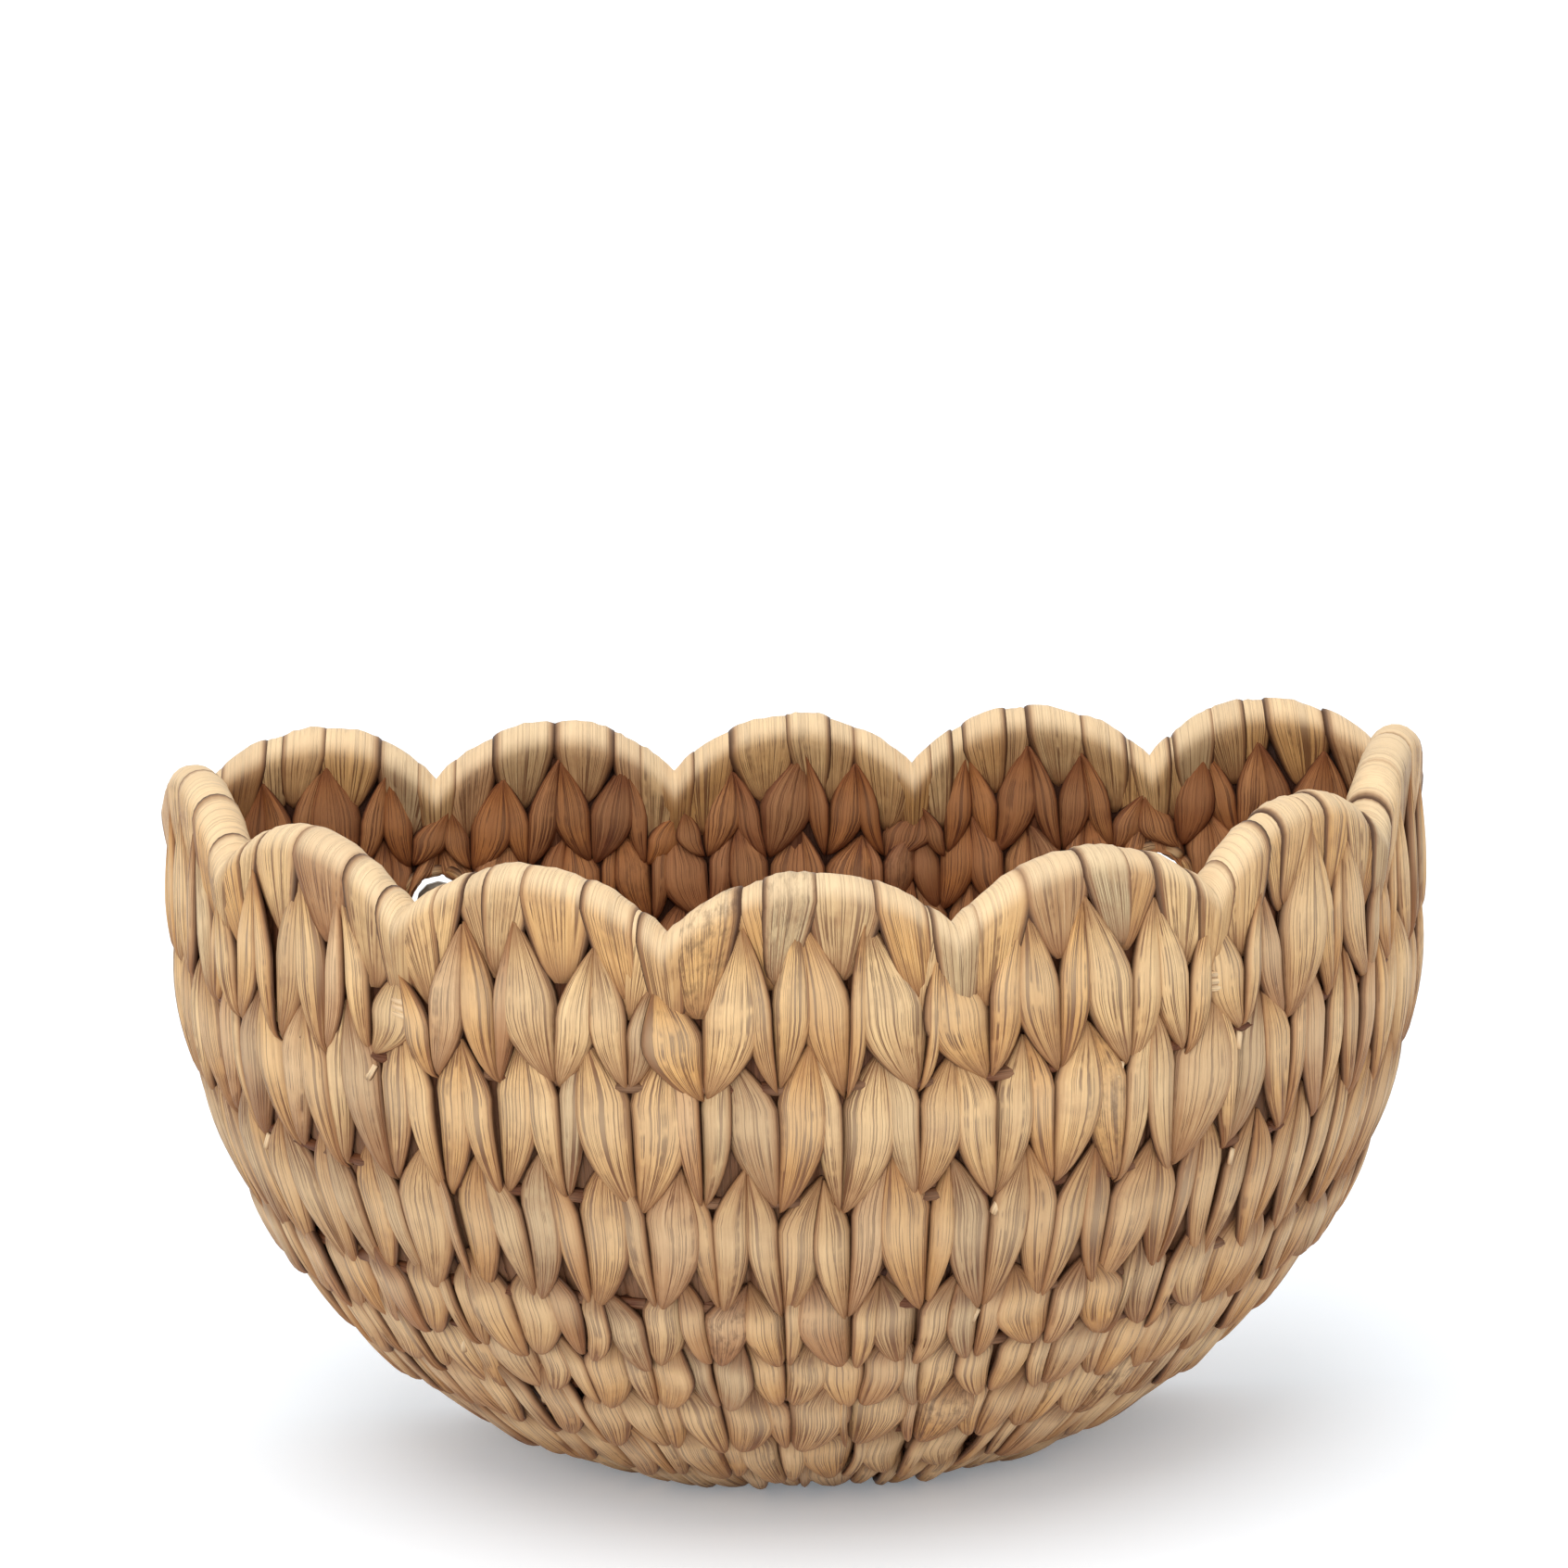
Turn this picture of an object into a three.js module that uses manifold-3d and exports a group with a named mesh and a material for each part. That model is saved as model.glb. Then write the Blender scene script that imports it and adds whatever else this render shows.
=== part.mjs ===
// Half-round wall basket with a scalloped rim: leaf weave over a wire frame, with two wire eyes for hanging.
// Millimetres. Seen from the front, +X is right, -Y comes towards the viewer and +Z is up.
// The origin is under the middle of the basket, on the surface that it stands on.

import * as THREE from 'three';
import { mergeVertices } from 'three/addons/utils/BufferGeometryUtils.js';
import Module from 'manifold-3d';

// Overall size
const basketWidth = 360;
const basketDepth = 180;
const rimTopHeight = 207;
const widestHeight = 155;
const baseWidth = 152;
const rimLeanIn = 4;

// Scalloped rim
const frontScallops = 7;
const backScallops = 5;
const scallopRise = 17;

// Woven walls and base
const wallThickness = 12;
const baseThickness = 12;
const footLedge = 7;

// Rows of V-shaped leaf stitches, as grooves in the faces of the walls
const stitchesPerScallop = 4;
const rowGroove = 2;
const stitchSeam = 1.8;
const rearGrooveReach = 2.5;
const apexShare = 0.28;

// Wire frame
const rimWireRadius = 2;
const hoopWireRadius = 1.5;
const ribWireRadius = 1.25;
const hoopCornerBend = 1.5;
const rimCornerBend = 2;
const baseWireSpacing = 60;

// Hoops: close rows low down, wide rows higher up, and the deepest row of leaves above the top hoop
const firstHoopHeight = 16;
const lowerRows = 5;
const upperRowPitch = 34;
const upperRows = 2;
const rimRowHeight = 58;

// Leaf bands that cover the rim wire, and the straps that bind them at each valley
const rimBandRadius = 6.2;
const rimBandSeat = 0.4;
const rimBandEndGap = 7;
const strapWidth = 7;
const strapThickness = 1.6;
const strapDrop = 16;

// Hanging eyes and the openings in the back panel that show them
const eyeWireRadius = 1.25;
const eyeBendRadius = 5.5;
const eyeLegLength = 3;
const eyeHoleMargin = 2.25;
const eyeHoleBelowHoop = 5;

// Air gap between pieces that touch
const fit = 0.3;

// Smoothness of the faceted surfaces
const stepsPerScallop = 6;
const outlineRows = 8;
const rowCrowding = 1.6;
const hoopSteps = 14;
const ribSteps = 7;
const wireSides = 6;
const bandSides = 8;
const eyeArcSteps = 6;
const eyeHoleSides = 12;

// Worked out from the driving sizes
const halfWidth = basketWidth / 2;
const backPlane = basketDepth / 2;
const frontStart = backPlane - wallThickness - fit;
const planRatio = (frontStart + basketDepth / 2) / halfWidth;
const bowlDrop = widestHeight / Math.sqrt(1 - (baseWidth / basketWidth) ** 2);
const frameStack = 2 * hoopWireRadius + fit + 2 * ribWireRadius;
const hoopDepth = (wallThickness - frameStack) / 2 + hoopWireRadius;
const ribDepth = hoopDepth + hoopWireRadius + fit + ribWireRadius;
const rimDepth = wallThickness / 2;
const rimBackLine = backPlane - rimBandRadius - fit;
const hoopBackLine = backPlane - hoopDepth;
const ribBackLine = backPlane - ribDepth;
const valleyWireHeight = rimTopHeight - rimBandRadius - scallopRise;
const wallTopDrop = rimBandRadius - rimBandSeat;
const valleyRadius = wallRadius(valleyWireHeight, rimDepth);
const backReach = valleyRadius - rimCornerBend;
const backScallopWidth = (2 * backReach) / backScallops;
const frontScallopWidth = (Math.PI * valleyRadius) / frontScallops;
const topHoopHeight = rimTopHeight - rimRowHeight;
const lowerRowsTop = topHoopHeight - upperRowPitch * upperRows;
const lowerRowPitch = (lowerRowsTop - firstHoopHeight) / (lowerRows - 1);
const plateEdge = wallRadius(baseThickness, wallThickness) - footLedge;
const eyePlace = (backScallops / 2 - 1) * backScallopWidth;

// The bowl's half-width at a height, on the surface that lies a given depth inside the outer one
function wallRadius(z, depth) {
  if (z < widestHeight) {
    const drop = (widestHeight - z) / (bowlDrop - depth);
    return (halfWidth - depth) * Math.sqrt(1 - drop * drop);
  }
  const climb = (z - widestHeight) / (rimTopHeight - widestHeight);
  return halfWidth - depth - rimLeanIn * climb * climb;
}

// The height at which that surface has a given half-width, below the widest level
function wallHeight(x, depth) {
  const across = x / (halfWidth - depth);
  return widestHeight - (bowlDrop - depth) * Math.sqrt(1 - across * across);
}

// A point of the curved front wall; the angle runs from the right corner round the front to the left one
function onWall(angle, z, depth) {
  const radius = wallRadius(z, depth);
  return new THREE.Vector3(radius * Math.cos(angle), frontStart - planRatio * radius * Math.sin(angle), z);
}

// Height of the rim wire across one scallop, which is an arc of a circle; share runs from 0 to 1
function rimWireHeight(share, scallopWidth) {
  const radius = (scallopWidth ** 2 / 4 + scallopRise ** 2) / (2 * scallopRise);
  const across = (share - 0.5) * scallopWidth;
  return valleyWireHeight + Math.sqrt(radius ** 2 - across ** 2) - radius + scallopRise;
}

function onFrontRim(scallop, share) {
  const angle = ((scallop + share) * Math.PI) / frontScallops;
  return onWall(angle, rimWireHeight(share, frontScallopWidth), rimDepth);
}

function onBackRim(scallop, share) {
  const x = -backReach + (scallop + share) * backScallopWidth;
  return new THREE.Vector3(x, rimBackLine, rimWireHeight(share, backScallopWidth));
}

// Heights that lie closer together low down, where the bowl curves most
function crowdedHeights(low, high, steps) {
  return Array.from({ length: steps + 1 }, (_, i) => low + (high - low) * (i / steps) ** rowCrowding);
}

// A path that passes through its points in straight stretches, open or closed
class WirePath extends THREE.Curve {
  constructor(points, closed = false) {
    super();
    this.points = points;
    this.closed = closed;
    this.spans = closed ? points.length : points.length - 1;
  }

  corner(index) {
    return this.points[index % this.points.length];
  }

  direction(span) {
    const kept = this.closed ? (span + this.spans) % this.spans : Math.min(Math.max(span, 0), this.spans - 1);
    return this.corner(kept + 1).clone().sub(this.corner(kept)).normalize();
  }

  getPoint(t, target = new THREE.Vector3()) {
    const place = t * this.spans;
    const span = Math.min(Math.floor(place), this.spans - 1);
    return target.lerpVectors(this.corner(span), this.corner(span + 1), place - span);
  }

  getPointAt(u, target) {
    return this.getPoint(u, target);
  }

  getTangentAt(u, target = new THREE.Vector3()) {
    const here = Math.round(u * this.spans);
    return target.copy(this.direction(here - 1)).add(this.direction(here)).normalize();
  }
}

function polygon(radius, sides) {
  return Array.from({ length: sides }, (_, i) => {
    const angle = (2 * Math.PI * i) / sides;
    return new THREE.Vector2(radius * Math.cos(angle), radius * Math.sin(angle));
  });
}

// The corner radius of a polygon whose flats stand at a given radius
function aroundFlats(radius, sides) {
  return radius / Math.cos(Math.PI / sides);
}

function closedWire(points, radius) {
  return new THREE.TubeGeometry(new WirePath(points, true), points.length, radius, wireSides, true);
}

function openWire(points, radius, sides = wireSides) {
  const path = new WirePath(points);
  const section = new THREE.Shape(polygon(radius, sides));
  return new THREE.ExtrudeGeometry(section, { extrudePath: path, steps: path.spans });
}

// The same points with both ends moved outwards along the path
function lengthened(points, extra) {
  const path = new WirePath(points);
  const start = points[0].clone().addScaledVector(path.direction(0), -extra);
  const end = points[points.length - 1].clone().addScaledVector(path.direction(path.spans - 1), extra);
  return [start, ...points.slice(1, -1), end];
}

// Solids for cutting: merged vertices in, merged vertices out
const wasm = await Module();
wasm.setup();

function toSolid(geometry) {
  const bare = geometry.clone();
  bare.deleteAttribute('normal');
  bare.deleteAttribute('uv');
  const merged = mergeVertices(bare);
  const vertProperties = merged.attributes.position.array;
  const triVerts = new Uint32Array(merged.index.array);
  return new wasm.Manifold(new wasm.Mesh({ numProp: 3, vertProperties, triVerts }));
}

function toGeometry(solid) {
  const { vertProperties, triVerts } = solid.getMesh();
  const geometry = new THREE.BufferGeometry();
  geometry.setAttribute('position', new THREE.BufferAttribute(vertProperties, 3));
  geometry.setIndex(new THREE.BufferAttribute(triVerts, 1));
  geometry.computeVertexNormals();
  return geometry;
}

function cutAway(geometry, tools) {
  const solid = tools.reduce((rest, tool) => rest.subtract(toSolid(tool)), toSolid(geometry));
  return toGeometry(solid);
}

// Materials
const leaf = { color: 0xc49a63, roughness: 0.72, metalness: 0 };
const rimLeaf = { color: 0xdcb98a, roughness: 0.62, metalness: 0 };
const strapLeaf = { color: 0xb0834f, roughness: 0.75, metalness: 0 };
const wire = { color: 0xcfc6b8, roughness: 0.45, metalness: 0.6 };

const basket = new THREE.Group();

function addPiece(name, geometry, finish) {
  const mesh = new THREE.Mesh(geometry, new THREE.MeshStandardMaterial(finish));
  mesh.name = name;
  basket.add(mesh);
  return mesh;
}

// Channels that the frame wires leave in the weave around them
const channels = [];

function addChannel(points, radius, closed) {
  const open = aroundFlats(radius + fit, wireSides);
  const channel = closed ? closedWire(points, open) : openWire(lengthened(points, fit), open);
  channels.push(channel);
  return channel;
}

// Rim wire: one loop over all the scallops, front and back
function bandShares(scallopWidth) {
  const first = rimBandEndGap / scallopWidth;
  return Array.from({ length: stepsPerScallop + 1 }, (_, i) => first + ((1 - 2 * first) * i) / stepsPerScallop);
}

function frontBandPoints(scallop) {
  return bandShares(frontScallopWidth).map((share) => onFrontRim(scallop, share));
}

function backBandPoints(scallop) {
  return bandShares(backScallopWidth).map((share) => onBackRim(scallop, share));
}

function rimCorner(side) {
  const beforeBend = new THREE.Vector3(side * valleyRadius, rimBackLine - rimCornerBend, valleyWireHeight);
  const afterBend = new THREE.Vector3(side * backReach, rimBackLine, valleyWireHeight);
  return side < 0 ? [beforeBend, afterBend] : [afterBend, beforeBend];
}

function addRimWire() {
  const points = [];
  for (let scallop = 0; scallop < frontScallops; scallop += 1) {
    points.push(onFrontRim(scallop, 0), ...frontBandPoints(scallop));
  }
  points.push(onFrontRim(frontScallops - 1, 1), ...rimCorner(-1), ...backBandPoints(0));
  for (let scallop = 1; scallop < backScallops; scallop += 1) {
    points.push(onBackRim(scallop, 0), ...backBandPoints(scallop));
  }
  points.push(...rimCorner(1));
  addPiece('rim_wire', closedWire(points, rimWireRadius), wire);
  addChannel(points, rimWireRadius, true);
}

// Level hoops: a curved front and a straight back, closed into one loop each
function hoopPoints(height) {
  const points = [];
  for (let step = 0; step <= hoopSteps; step += 1) {
    points.push(onWall((Math.PI * step) / hoopSteps, height, hoopDepth));
  }
  const reach = wallRadius(height, hoopDepth);
  points.push(new THREE.Vector3(-reach, hoopBackLine - hoopCornerBend, height));
  points.push(new THREE.Vector3(-reach + hoopCornerBend, hoopBackLine, height));
  points.push(new THREE.Vector3(reach - hoopCornerBend, hoopBackLine, height));
  points.push(new THREE.Vector3(reach, hoopBackLine - hoopCornerBend, height));
  return points;
}

function addHoop(name, height) {
  const points = hoopPoints(height);
  addPiece(name, closedWire(points, hoopWireRadius), wire);
  addChannel(points, hoopWireRadius, true);
}

// Each hoop lies on a row line; rise is how far the apexes of the row below stand above that line
const rowLines = Array.from({ length: lowerRows + upperRows }, (_, row) => {
  const upper = Math.max(row - lowerRows + 1, 0);
  const height = firstHoopHeight + (row - upper) * lowerRowPitch + upper * upperRowPitch;
  return { height, rise: apexShare * (row < lowerRows - 1 ? lowerRowPitch : upperRowPitch) };
});

function addHoops() {
  addHoop('base_ring', hoopDepth);
  rowLines.forEach((line, row) => addHoop(`hoop_wire_${row + 1}`, line.height));
}

// Upright ribs, inside the hoops: under each front valley, in both corners and on the back panel
const ribTop = valleyWireHeight - rimWireRadius - fit;

function addRib(name, points) {
  addPiece(name, openWire(points, ribWireRadius), wire);
  return addChannel(points, ribWireRadius, false);
}

function addFrontRibs() {
  for (let valley = 1; valley < frontScallops; valley += 1) {
    const angle = (valley * Math.PI) / frontScallops;
    const heights = crowdedHeights(ribDepth, ribTop, ribSteps);
    addRib(`front_rib_${valley}`, heights.map((z) => onWall(angle, z, ribDepth)));
  }
}

function addCornerRib(name, side) {
  const heights = crowdedHeights(ribDepth, ribTop, ribSteps);
  addRib(name, heights.map((z) => new THREE.Vector3(side * wallRadius(z, ribDepth), ribBackLine, z)));
}

const backRibChannels = [];

function addBackRibs() {
  const clearOfCornerRib = ribDepth + 2 * ribWireRadius + fit;
  const top = valleyWireHeight + scallopRise - rimWireRadius - fit;
  const middle = (backScallops - 1) / 2;
  for (let rib = 1; rib < backScallops - 1; rib += 1) {
    const x = (rib - middle) * backScallopWidth;
    const bottom = Math.max(wallHeight(x, clearOfCornerRib), hoopDepth - hoopWireRadius);
    const ends = [new THREE.Vector3(x, ribBackLine, bottom), new THREE.Vector3(x, ribBackLine, top)];
    backRibChannels.push(addRib(`back_rib_${rib}`, ends));
  }
}

// Straight wires across the base, on top of the base ring
function addBaseWire(name, side) {
  const x = (side * baseWireSpacing) / 2;
  const ringRadius = wallRadius(hoopDepth, hoopDepth);
  const frontEnd = frontStart - planRatio * Math.sqrt(ringRadius ** 2 - x ** 2);
  const height = hoopDepth + hoopWireRadius + fit + ribWireRadius;
  addRib(name, [new THREE.Vector3(x, hoopBackLine, height), new THREE.Vector3(x, frontEnd, height)]);
}

// Leaf bands round the rim wire, one for each scallop
const bandSeats = [];

function addBand(name, points, cuts) {
  const path = new WirePath(points);
  const section = new THREE.Shape(polygon(rimBandRadius, bandSides));
  section.holes.push(new THREE.Path(polygon(aroundFlats(rimWireRadius + fit, bandSides), bandSides)));
  const geometry = new THREE.ExtrudeGeometry(section, { extrudePath: path, steps: path.spans });
  addPiece(name, cutAway(geometry, cuts), rimLeaf);
  bandSeats.push(openWire(lengthened(points, fit), aroundFlats(rimBandRadius + fit, bandSides), bandSides));
}

function addBands() {
  for (let scallop = 0; scallop < frontScallops; scallop += 1) {
    addBand(`front_rim_band_${scallop + 1}`, frontBandPoints(scallop), []);
  }
  for (let scallop = 0; scallop < backScallops; scallop += 1) {
    addBand(`back_rim_band_${scallop + 1}`, backBandPoints(scallop), backRibChannels);
  }
}

// Straps over the rim at each valley, let into both faces of the wall
const strapSeats = [];
const strapReach = wallThickness / 2 - fit;
const strapInside = strapReach - strapThickness;
const strapSeatReach = 3;

// How high above the valley point a strap clears the rim wire, which climbs away on both sides
function strapCrotch(scallopWidth) {
  const slope = (rimWireHeight(rimBandEndGap / scallopWidth, scallopWidth) - valleyWireHeight) / rimBandEndGap;
  return (slope * strapWidth) / 2 + (rimWireRadius + fit) * Math.hypot(1, slope);
}

function strapGeometry(outside, inside, crotch, top, drop, width) {
  const outline = new THREE.Shape([
    new THREE.Vector2(-outside, -drop),
    new THREE.Vector2(-inside, -drop),
    new THREE.Vector2(-inside, crotch),
    new THREE.Vector2(inside, crotch),
    new THREE.Vector2(inside, -drop),
    new THREE.Vector2(outside, -drop),
    new THREE.Vector2(outside, top),
    new THREE.Vector2(-outside, top),
  ]);
  const geometry = new THREE.ExtrudeGeometry(outline, { depth: width, bevelEnabled: false });
  return geometry.translate(0, 0, -width / 2).rotateX(Math.PI / 2);
}

function addStrap(name, scallopWidth, place, turn) {
  const crotch = strapCrotch(scallopWidth);
  const top = crotch + strapThickness;
  const geometry = strapGeometry(strapReach, strapInside, crotch, top, strapDrop, strapWidth);
  const strap = addPiece(name, geometry, strapLeaf);
  strap.position.copy(place);
  strap.rotation.z = turn;
  strap.updateMatrix();
  const seat = strapGeometry(
    strapReach + strapSeatReach,
    strapInside - fit,
    crotch,
    top,
    strapDrop + fit,
    strapWidth + 2 * fit,
  );
  strapSeats.push(seat.applyMatrix4(strap.matrix));
}

function addStraps() {
  for (let valley = 1; valley < frontScallops; valley += 1) {
    const angle = (valley * Math.PI) / frontScallops;
    const outwards = Math.atan2(-Math.sin(angle), planRatio * Math.cos(angle));
    const place = onWall(angle, valleyWireHeight, rimDepth);
    addStrap(`front_valley_strap_${valley}`, frontScallopWidth, place, outwards);
  }
  for (let valley = 1; valley < backScallops; valley += 1) {
    const x = -backReach + valley * backScallopWidth;
    const place = new THREE.Vector3(x, backPlane - rimDepth, valleyWireHeight);
    addStrap(`back_valley_strap_${valley}`, backScallopWidth, place, Math.PI / 2);
  }
  const cornerLine = rimBackLine - rimCornerBend - fit - strapWidth / 2;
  const corner = new THREE.Vector3(valleyRadius, cornerLine, valleyWireHeight);
  addStrap('corner_strap_right', frontScallopWidth, corner, 0);
  addStrap('corner_strap_left', frontScallopWidth, corner.clone().setX(-valleyRadius), 0);
}

// Hanging eyes: bent wires that stand on the top hoop, inside the openings of the back panel,
// under the valleys one scallop in from each corner
function addEye(name, side) {
  const foot = hoopWireRadius + fit;
  const bendHeight = foot + eyeLegLength;
  const points = [new THREE.Vector3(-eyeBendRadius, 0, foot)];
  for (let step = 0; step <= eyeArcSteps; step += 1) {
    const angle = Math.PI - (Math.PI * step) / eyeArcSteps;
    const z = bendHeight + eyeBendRadius * Math.sin(angle);
    points.push(new THREE.Vector3(eyeBendRadius * Math.cos(angle), 0, z));
  }
  points.push(new THREE.Vector3(eyeBendRadius, 0, foot));
  const eye = addPiece(name, openWire(points, eyeWireRadius), wire);
  eye.position.set(side * eyePlace, hoopBackLine, topHoopHeight);
}

function eyeHole(side) {
  const reach = eyeBendRadius + eyeWireRadius + eyeHoleMargin;
  const low = topHoopHeight - eyeHoleBelowHoop;
  const high = topHoopHeight + hoopWireRadius + fit + eyeLegLength + reach;
  const around = polygon(1, eyeHoleSides);
  const middle = (low + high) / 2;
  return new THREE.Path(
    around.map((p) => new THREE.Vector2(side * eyePlace + reach * p.x, middle + ((high - low) / 2) * p.y)),
  );
}

function rowHeights(lines, atApex) {
  return lines.map((line) => line.height + (atApex ? line.rise : 0));
}

// Heights and depths up a curved face of stitches, between its foot and its top. A section down the middle
// of a V has a seam between its grooves; one at the apexes beside it has higher grooves, so the rows zigzag.
function stitchProfile(foot, top, lines, atApex) {
  const grooves = rowHeights(lines, atApex);
  const crest = atApex ? 0 : stitchSeam;
  const profile = [{ z: foot, depth: 0 }];
  [...grooves, top].forEach((z, index) => {
    const below = index === 0 ? foot : grooves[index - 1];
    profile.push({ z: (below + z) / 2, depth: crest });
    profile.push({ z, depth: z === top ? 0 : rowGroove });
  });
  return profile;
}

// The same rows in a face that stays flat between its grooves
function flatProfile(foot, top, lines, atApex) {
  const grooves = rowHeights(lines, atApex).flatMap((z) => [
    { z: z - rearGrooveReach, depth: 0 },
    { z, depth: rowGroove },
    { z: z + rearGrooveReach, depth: 0 },
  ]);
  return [{ z: foot, depth: 0 }, ...grooves, { z: top, depth: 0 }];
}

// Joins closed loops of points face to face; the flat end loops are given as an outline in their plane
function joinSections(sections, flatten) {
  const count = sections[0].length;
  const last = (sections.length - 1) * count;
  const index = [];
  for (let start = 0; start < last; start += count) {
    for (let corner = 0; corner < count; corner += 1) {
      const here = start + corner;
      const above = start + ((corner + 1) % count);
      index.push(here, above, above + count);
      index.push(here, above + count, here + count);
    }
  }
  for (const [a, b, c] of THREE.ShapeUtils.triangulateShape(sections[0].map(flatten), [])) {
    index.push(a, c, b);
    index.push(a + last, b + last, c + last);
  }
  const geometry = new THREE.BufferGeometry();
  geometry.setFromPoints(sections.flat());
  geometry.setIndex(index);
  return geometry;
}

// Curved front wall: upright sections from the right corner to the left one
function wallSection(angle, top, atApex) {
  const outerProfile = stitchProfile(0, top, rowLines, atApex);
  const innerProfile = stitchProfile(baseThickness, top, rowLines.slice(1), atApex);
  const outer = outerProfile.map(({ z, depth }) => onWall(angle, z, depth));
  const inner = innerProfile.map(({ z, depth }) => onWall(angle, z, wallThickness - depth));
  const ledge = [baseThickness, 0].map(
    (z) => new THREE.Vector3(plateEdge * Math.cos(angle), frontStart - planRatio * plateEdge * Math.sin(angle), z),
  );
  return [...outer, ...inner.reverse(), ...ledge];
}

function wallGeometry() {
  const stepsHere = 2 * stitchesPerScallop;
  const columns = frontScallops * stepsHere;
  const sections = Array.from({ length: columns + 1 }, (_, column) => {
    const top = rimWireHeight((column % stepsHere) / stepsHere, frontScallopWidth) - wallTopDrop;
    return wallSection((column * Math.PI) / columns, top, column % 2 === 0);
  });
  return joinSections(sections, (point) => new THREE.Vector2(point.x, point.z));
}

// Flat back panel: its outline has its own scallops and the two openings for the hanging eyes
function panelOutline() {
  const sideTop = valleyWireHeight - wallTopDrop;
  const side = crowdedHeights(0, sideTop, outlineRows).map((z) => new THREE.Vector2(wallRadius(z, 0), z));
  const top = [];
  for (let step = backScallops * stepsPerScallop; step >= 0; step -= 1) {
    const share = (step % stepsPerScallop) / stepsPerScallop;
    const x = -backReach + (step / stepsPerScallop) * backScallopWidth;
    top.push(new THREE.Vector2(x, rimWireHeight(share, backScallopWidth) - wallTopDrop));
  }
  const otherSide = side.map((point) => new THREE.Vector2(-point.x, point.y)).reverse();
  const outline = new THREE.Shape([...side, ...top, ...otherSide]);
  outline.holes.push(eyeHole(1), eyeHole(-1));
  return outline;
}

// The panel has the rows of stitches on both faces, and stays flat between them where it lies against a wall
function backPanelGeometry() {
  const spare = fit;
  const stepsHere = 2 * stitchesPerScallop;
  const columns = backScallops * stepsHere;
  const inner = backPlane - wallThickness;
  const section = (x, atApex) => {
    const front = stitchProfile(-spare, rimTopHeight, rowLines, atApex);
    const rear = flatProfile(-spare, rimTopHeight, rowLines, atApex);
    return [
      ...front.map(({ z, depth }) => new THREE.Vector3(x, inner + depth, z)),
      ...rear.reverse().map(({ z, depth }) => new THREE.Vector3(x, backPlane - depth, z)),
    ];
  };
  const sections = [section(halfWidth + spare, true)];
  for (let column = 0; column <= columns; column += 1) {
    sections.push(section(backReach - (column * backScallopWidth) / stepsHere, column % 2 === 0));
  }
  sections.push(section(-halfWidth - spare, true));
  const slab = joinSections(sections, (point) => new THREE.Vector2(-point.y, point.z));
  const depth = wallThickness + 2 * spare;
  const trim = new THREE.ExtrudeGeometry(panelOutline(), { depth, bevelEnabled: false });
  trim.rotateX(Math.PI / 2).translate(0, backPlane + spare, 0);
  return toGeometry(toSolid(slab).intersect(toSolid(trim)));
}

// Base plate, let in between the foot of the front wall and the back panel
function basePlateGeometry() {
  const columns = frontScallops * stepsPerScallop;
  const edge = plateEdge - fit;
  const points = Array.from({ length: columns + 1 }, (_, column) => {
    const angle = -(column * Math.PI) / columns;
    return new THREE.Vector2(edge * Math.cos(angle), frontStart + planRatio * edge * Math.sin(angle));
  });
  return new THREE.ExtrudeGeometry(new THREE.Shape(points), { depth: baseThickness, bevelEnabled: false });
}

function addWeaves() {
  const tools = [...channels, ...bandSeats, ...strapSeats];
  addPiece('front_weave', cutAway(wallGeometry(), tools), leaf);
  addPiece('back_weave', cutAway(backPanelGeometry(), tools), leaf);
  addPiece('base_weave', cutAway(basePlateGeometry(), channels), leaf);
}

addRimWire();
addHoops();
addFrontRibs();
addCornerRib('corner_rib_right', 1);
addCornerRib('corner_rib_left', -1);
addBackRibs();
addBaseWire('base_wire_right', 1);
addBaseWire('base_wire_left', -1);
addBands();
addStraps();
addEye('hanging_eye_right', 1);
addEye('hanging_eye_left', -1);
addWeaves();

export default basket;
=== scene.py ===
import math
from collections import namedtuple
from math import pi

import bpy
import numpy as np
from mathutils import Matrix, Vector


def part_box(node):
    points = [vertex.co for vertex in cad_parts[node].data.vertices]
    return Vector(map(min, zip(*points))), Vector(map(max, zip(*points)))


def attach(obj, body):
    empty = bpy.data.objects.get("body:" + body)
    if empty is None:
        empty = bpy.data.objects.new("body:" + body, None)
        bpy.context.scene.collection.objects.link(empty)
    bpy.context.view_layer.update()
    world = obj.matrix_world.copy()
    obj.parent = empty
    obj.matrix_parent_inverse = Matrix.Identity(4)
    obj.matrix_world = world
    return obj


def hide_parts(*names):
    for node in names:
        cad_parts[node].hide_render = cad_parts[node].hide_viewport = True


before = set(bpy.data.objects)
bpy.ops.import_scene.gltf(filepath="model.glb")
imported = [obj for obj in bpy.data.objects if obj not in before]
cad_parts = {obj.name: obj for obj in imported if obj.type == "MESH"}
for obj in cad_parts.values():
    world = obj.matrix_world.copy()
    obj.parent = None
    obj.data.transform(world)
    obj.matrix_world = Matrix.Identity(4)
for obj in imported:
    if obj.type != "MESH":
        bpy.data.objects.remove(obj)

MM = 0.001
SEED = 1187

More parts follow.
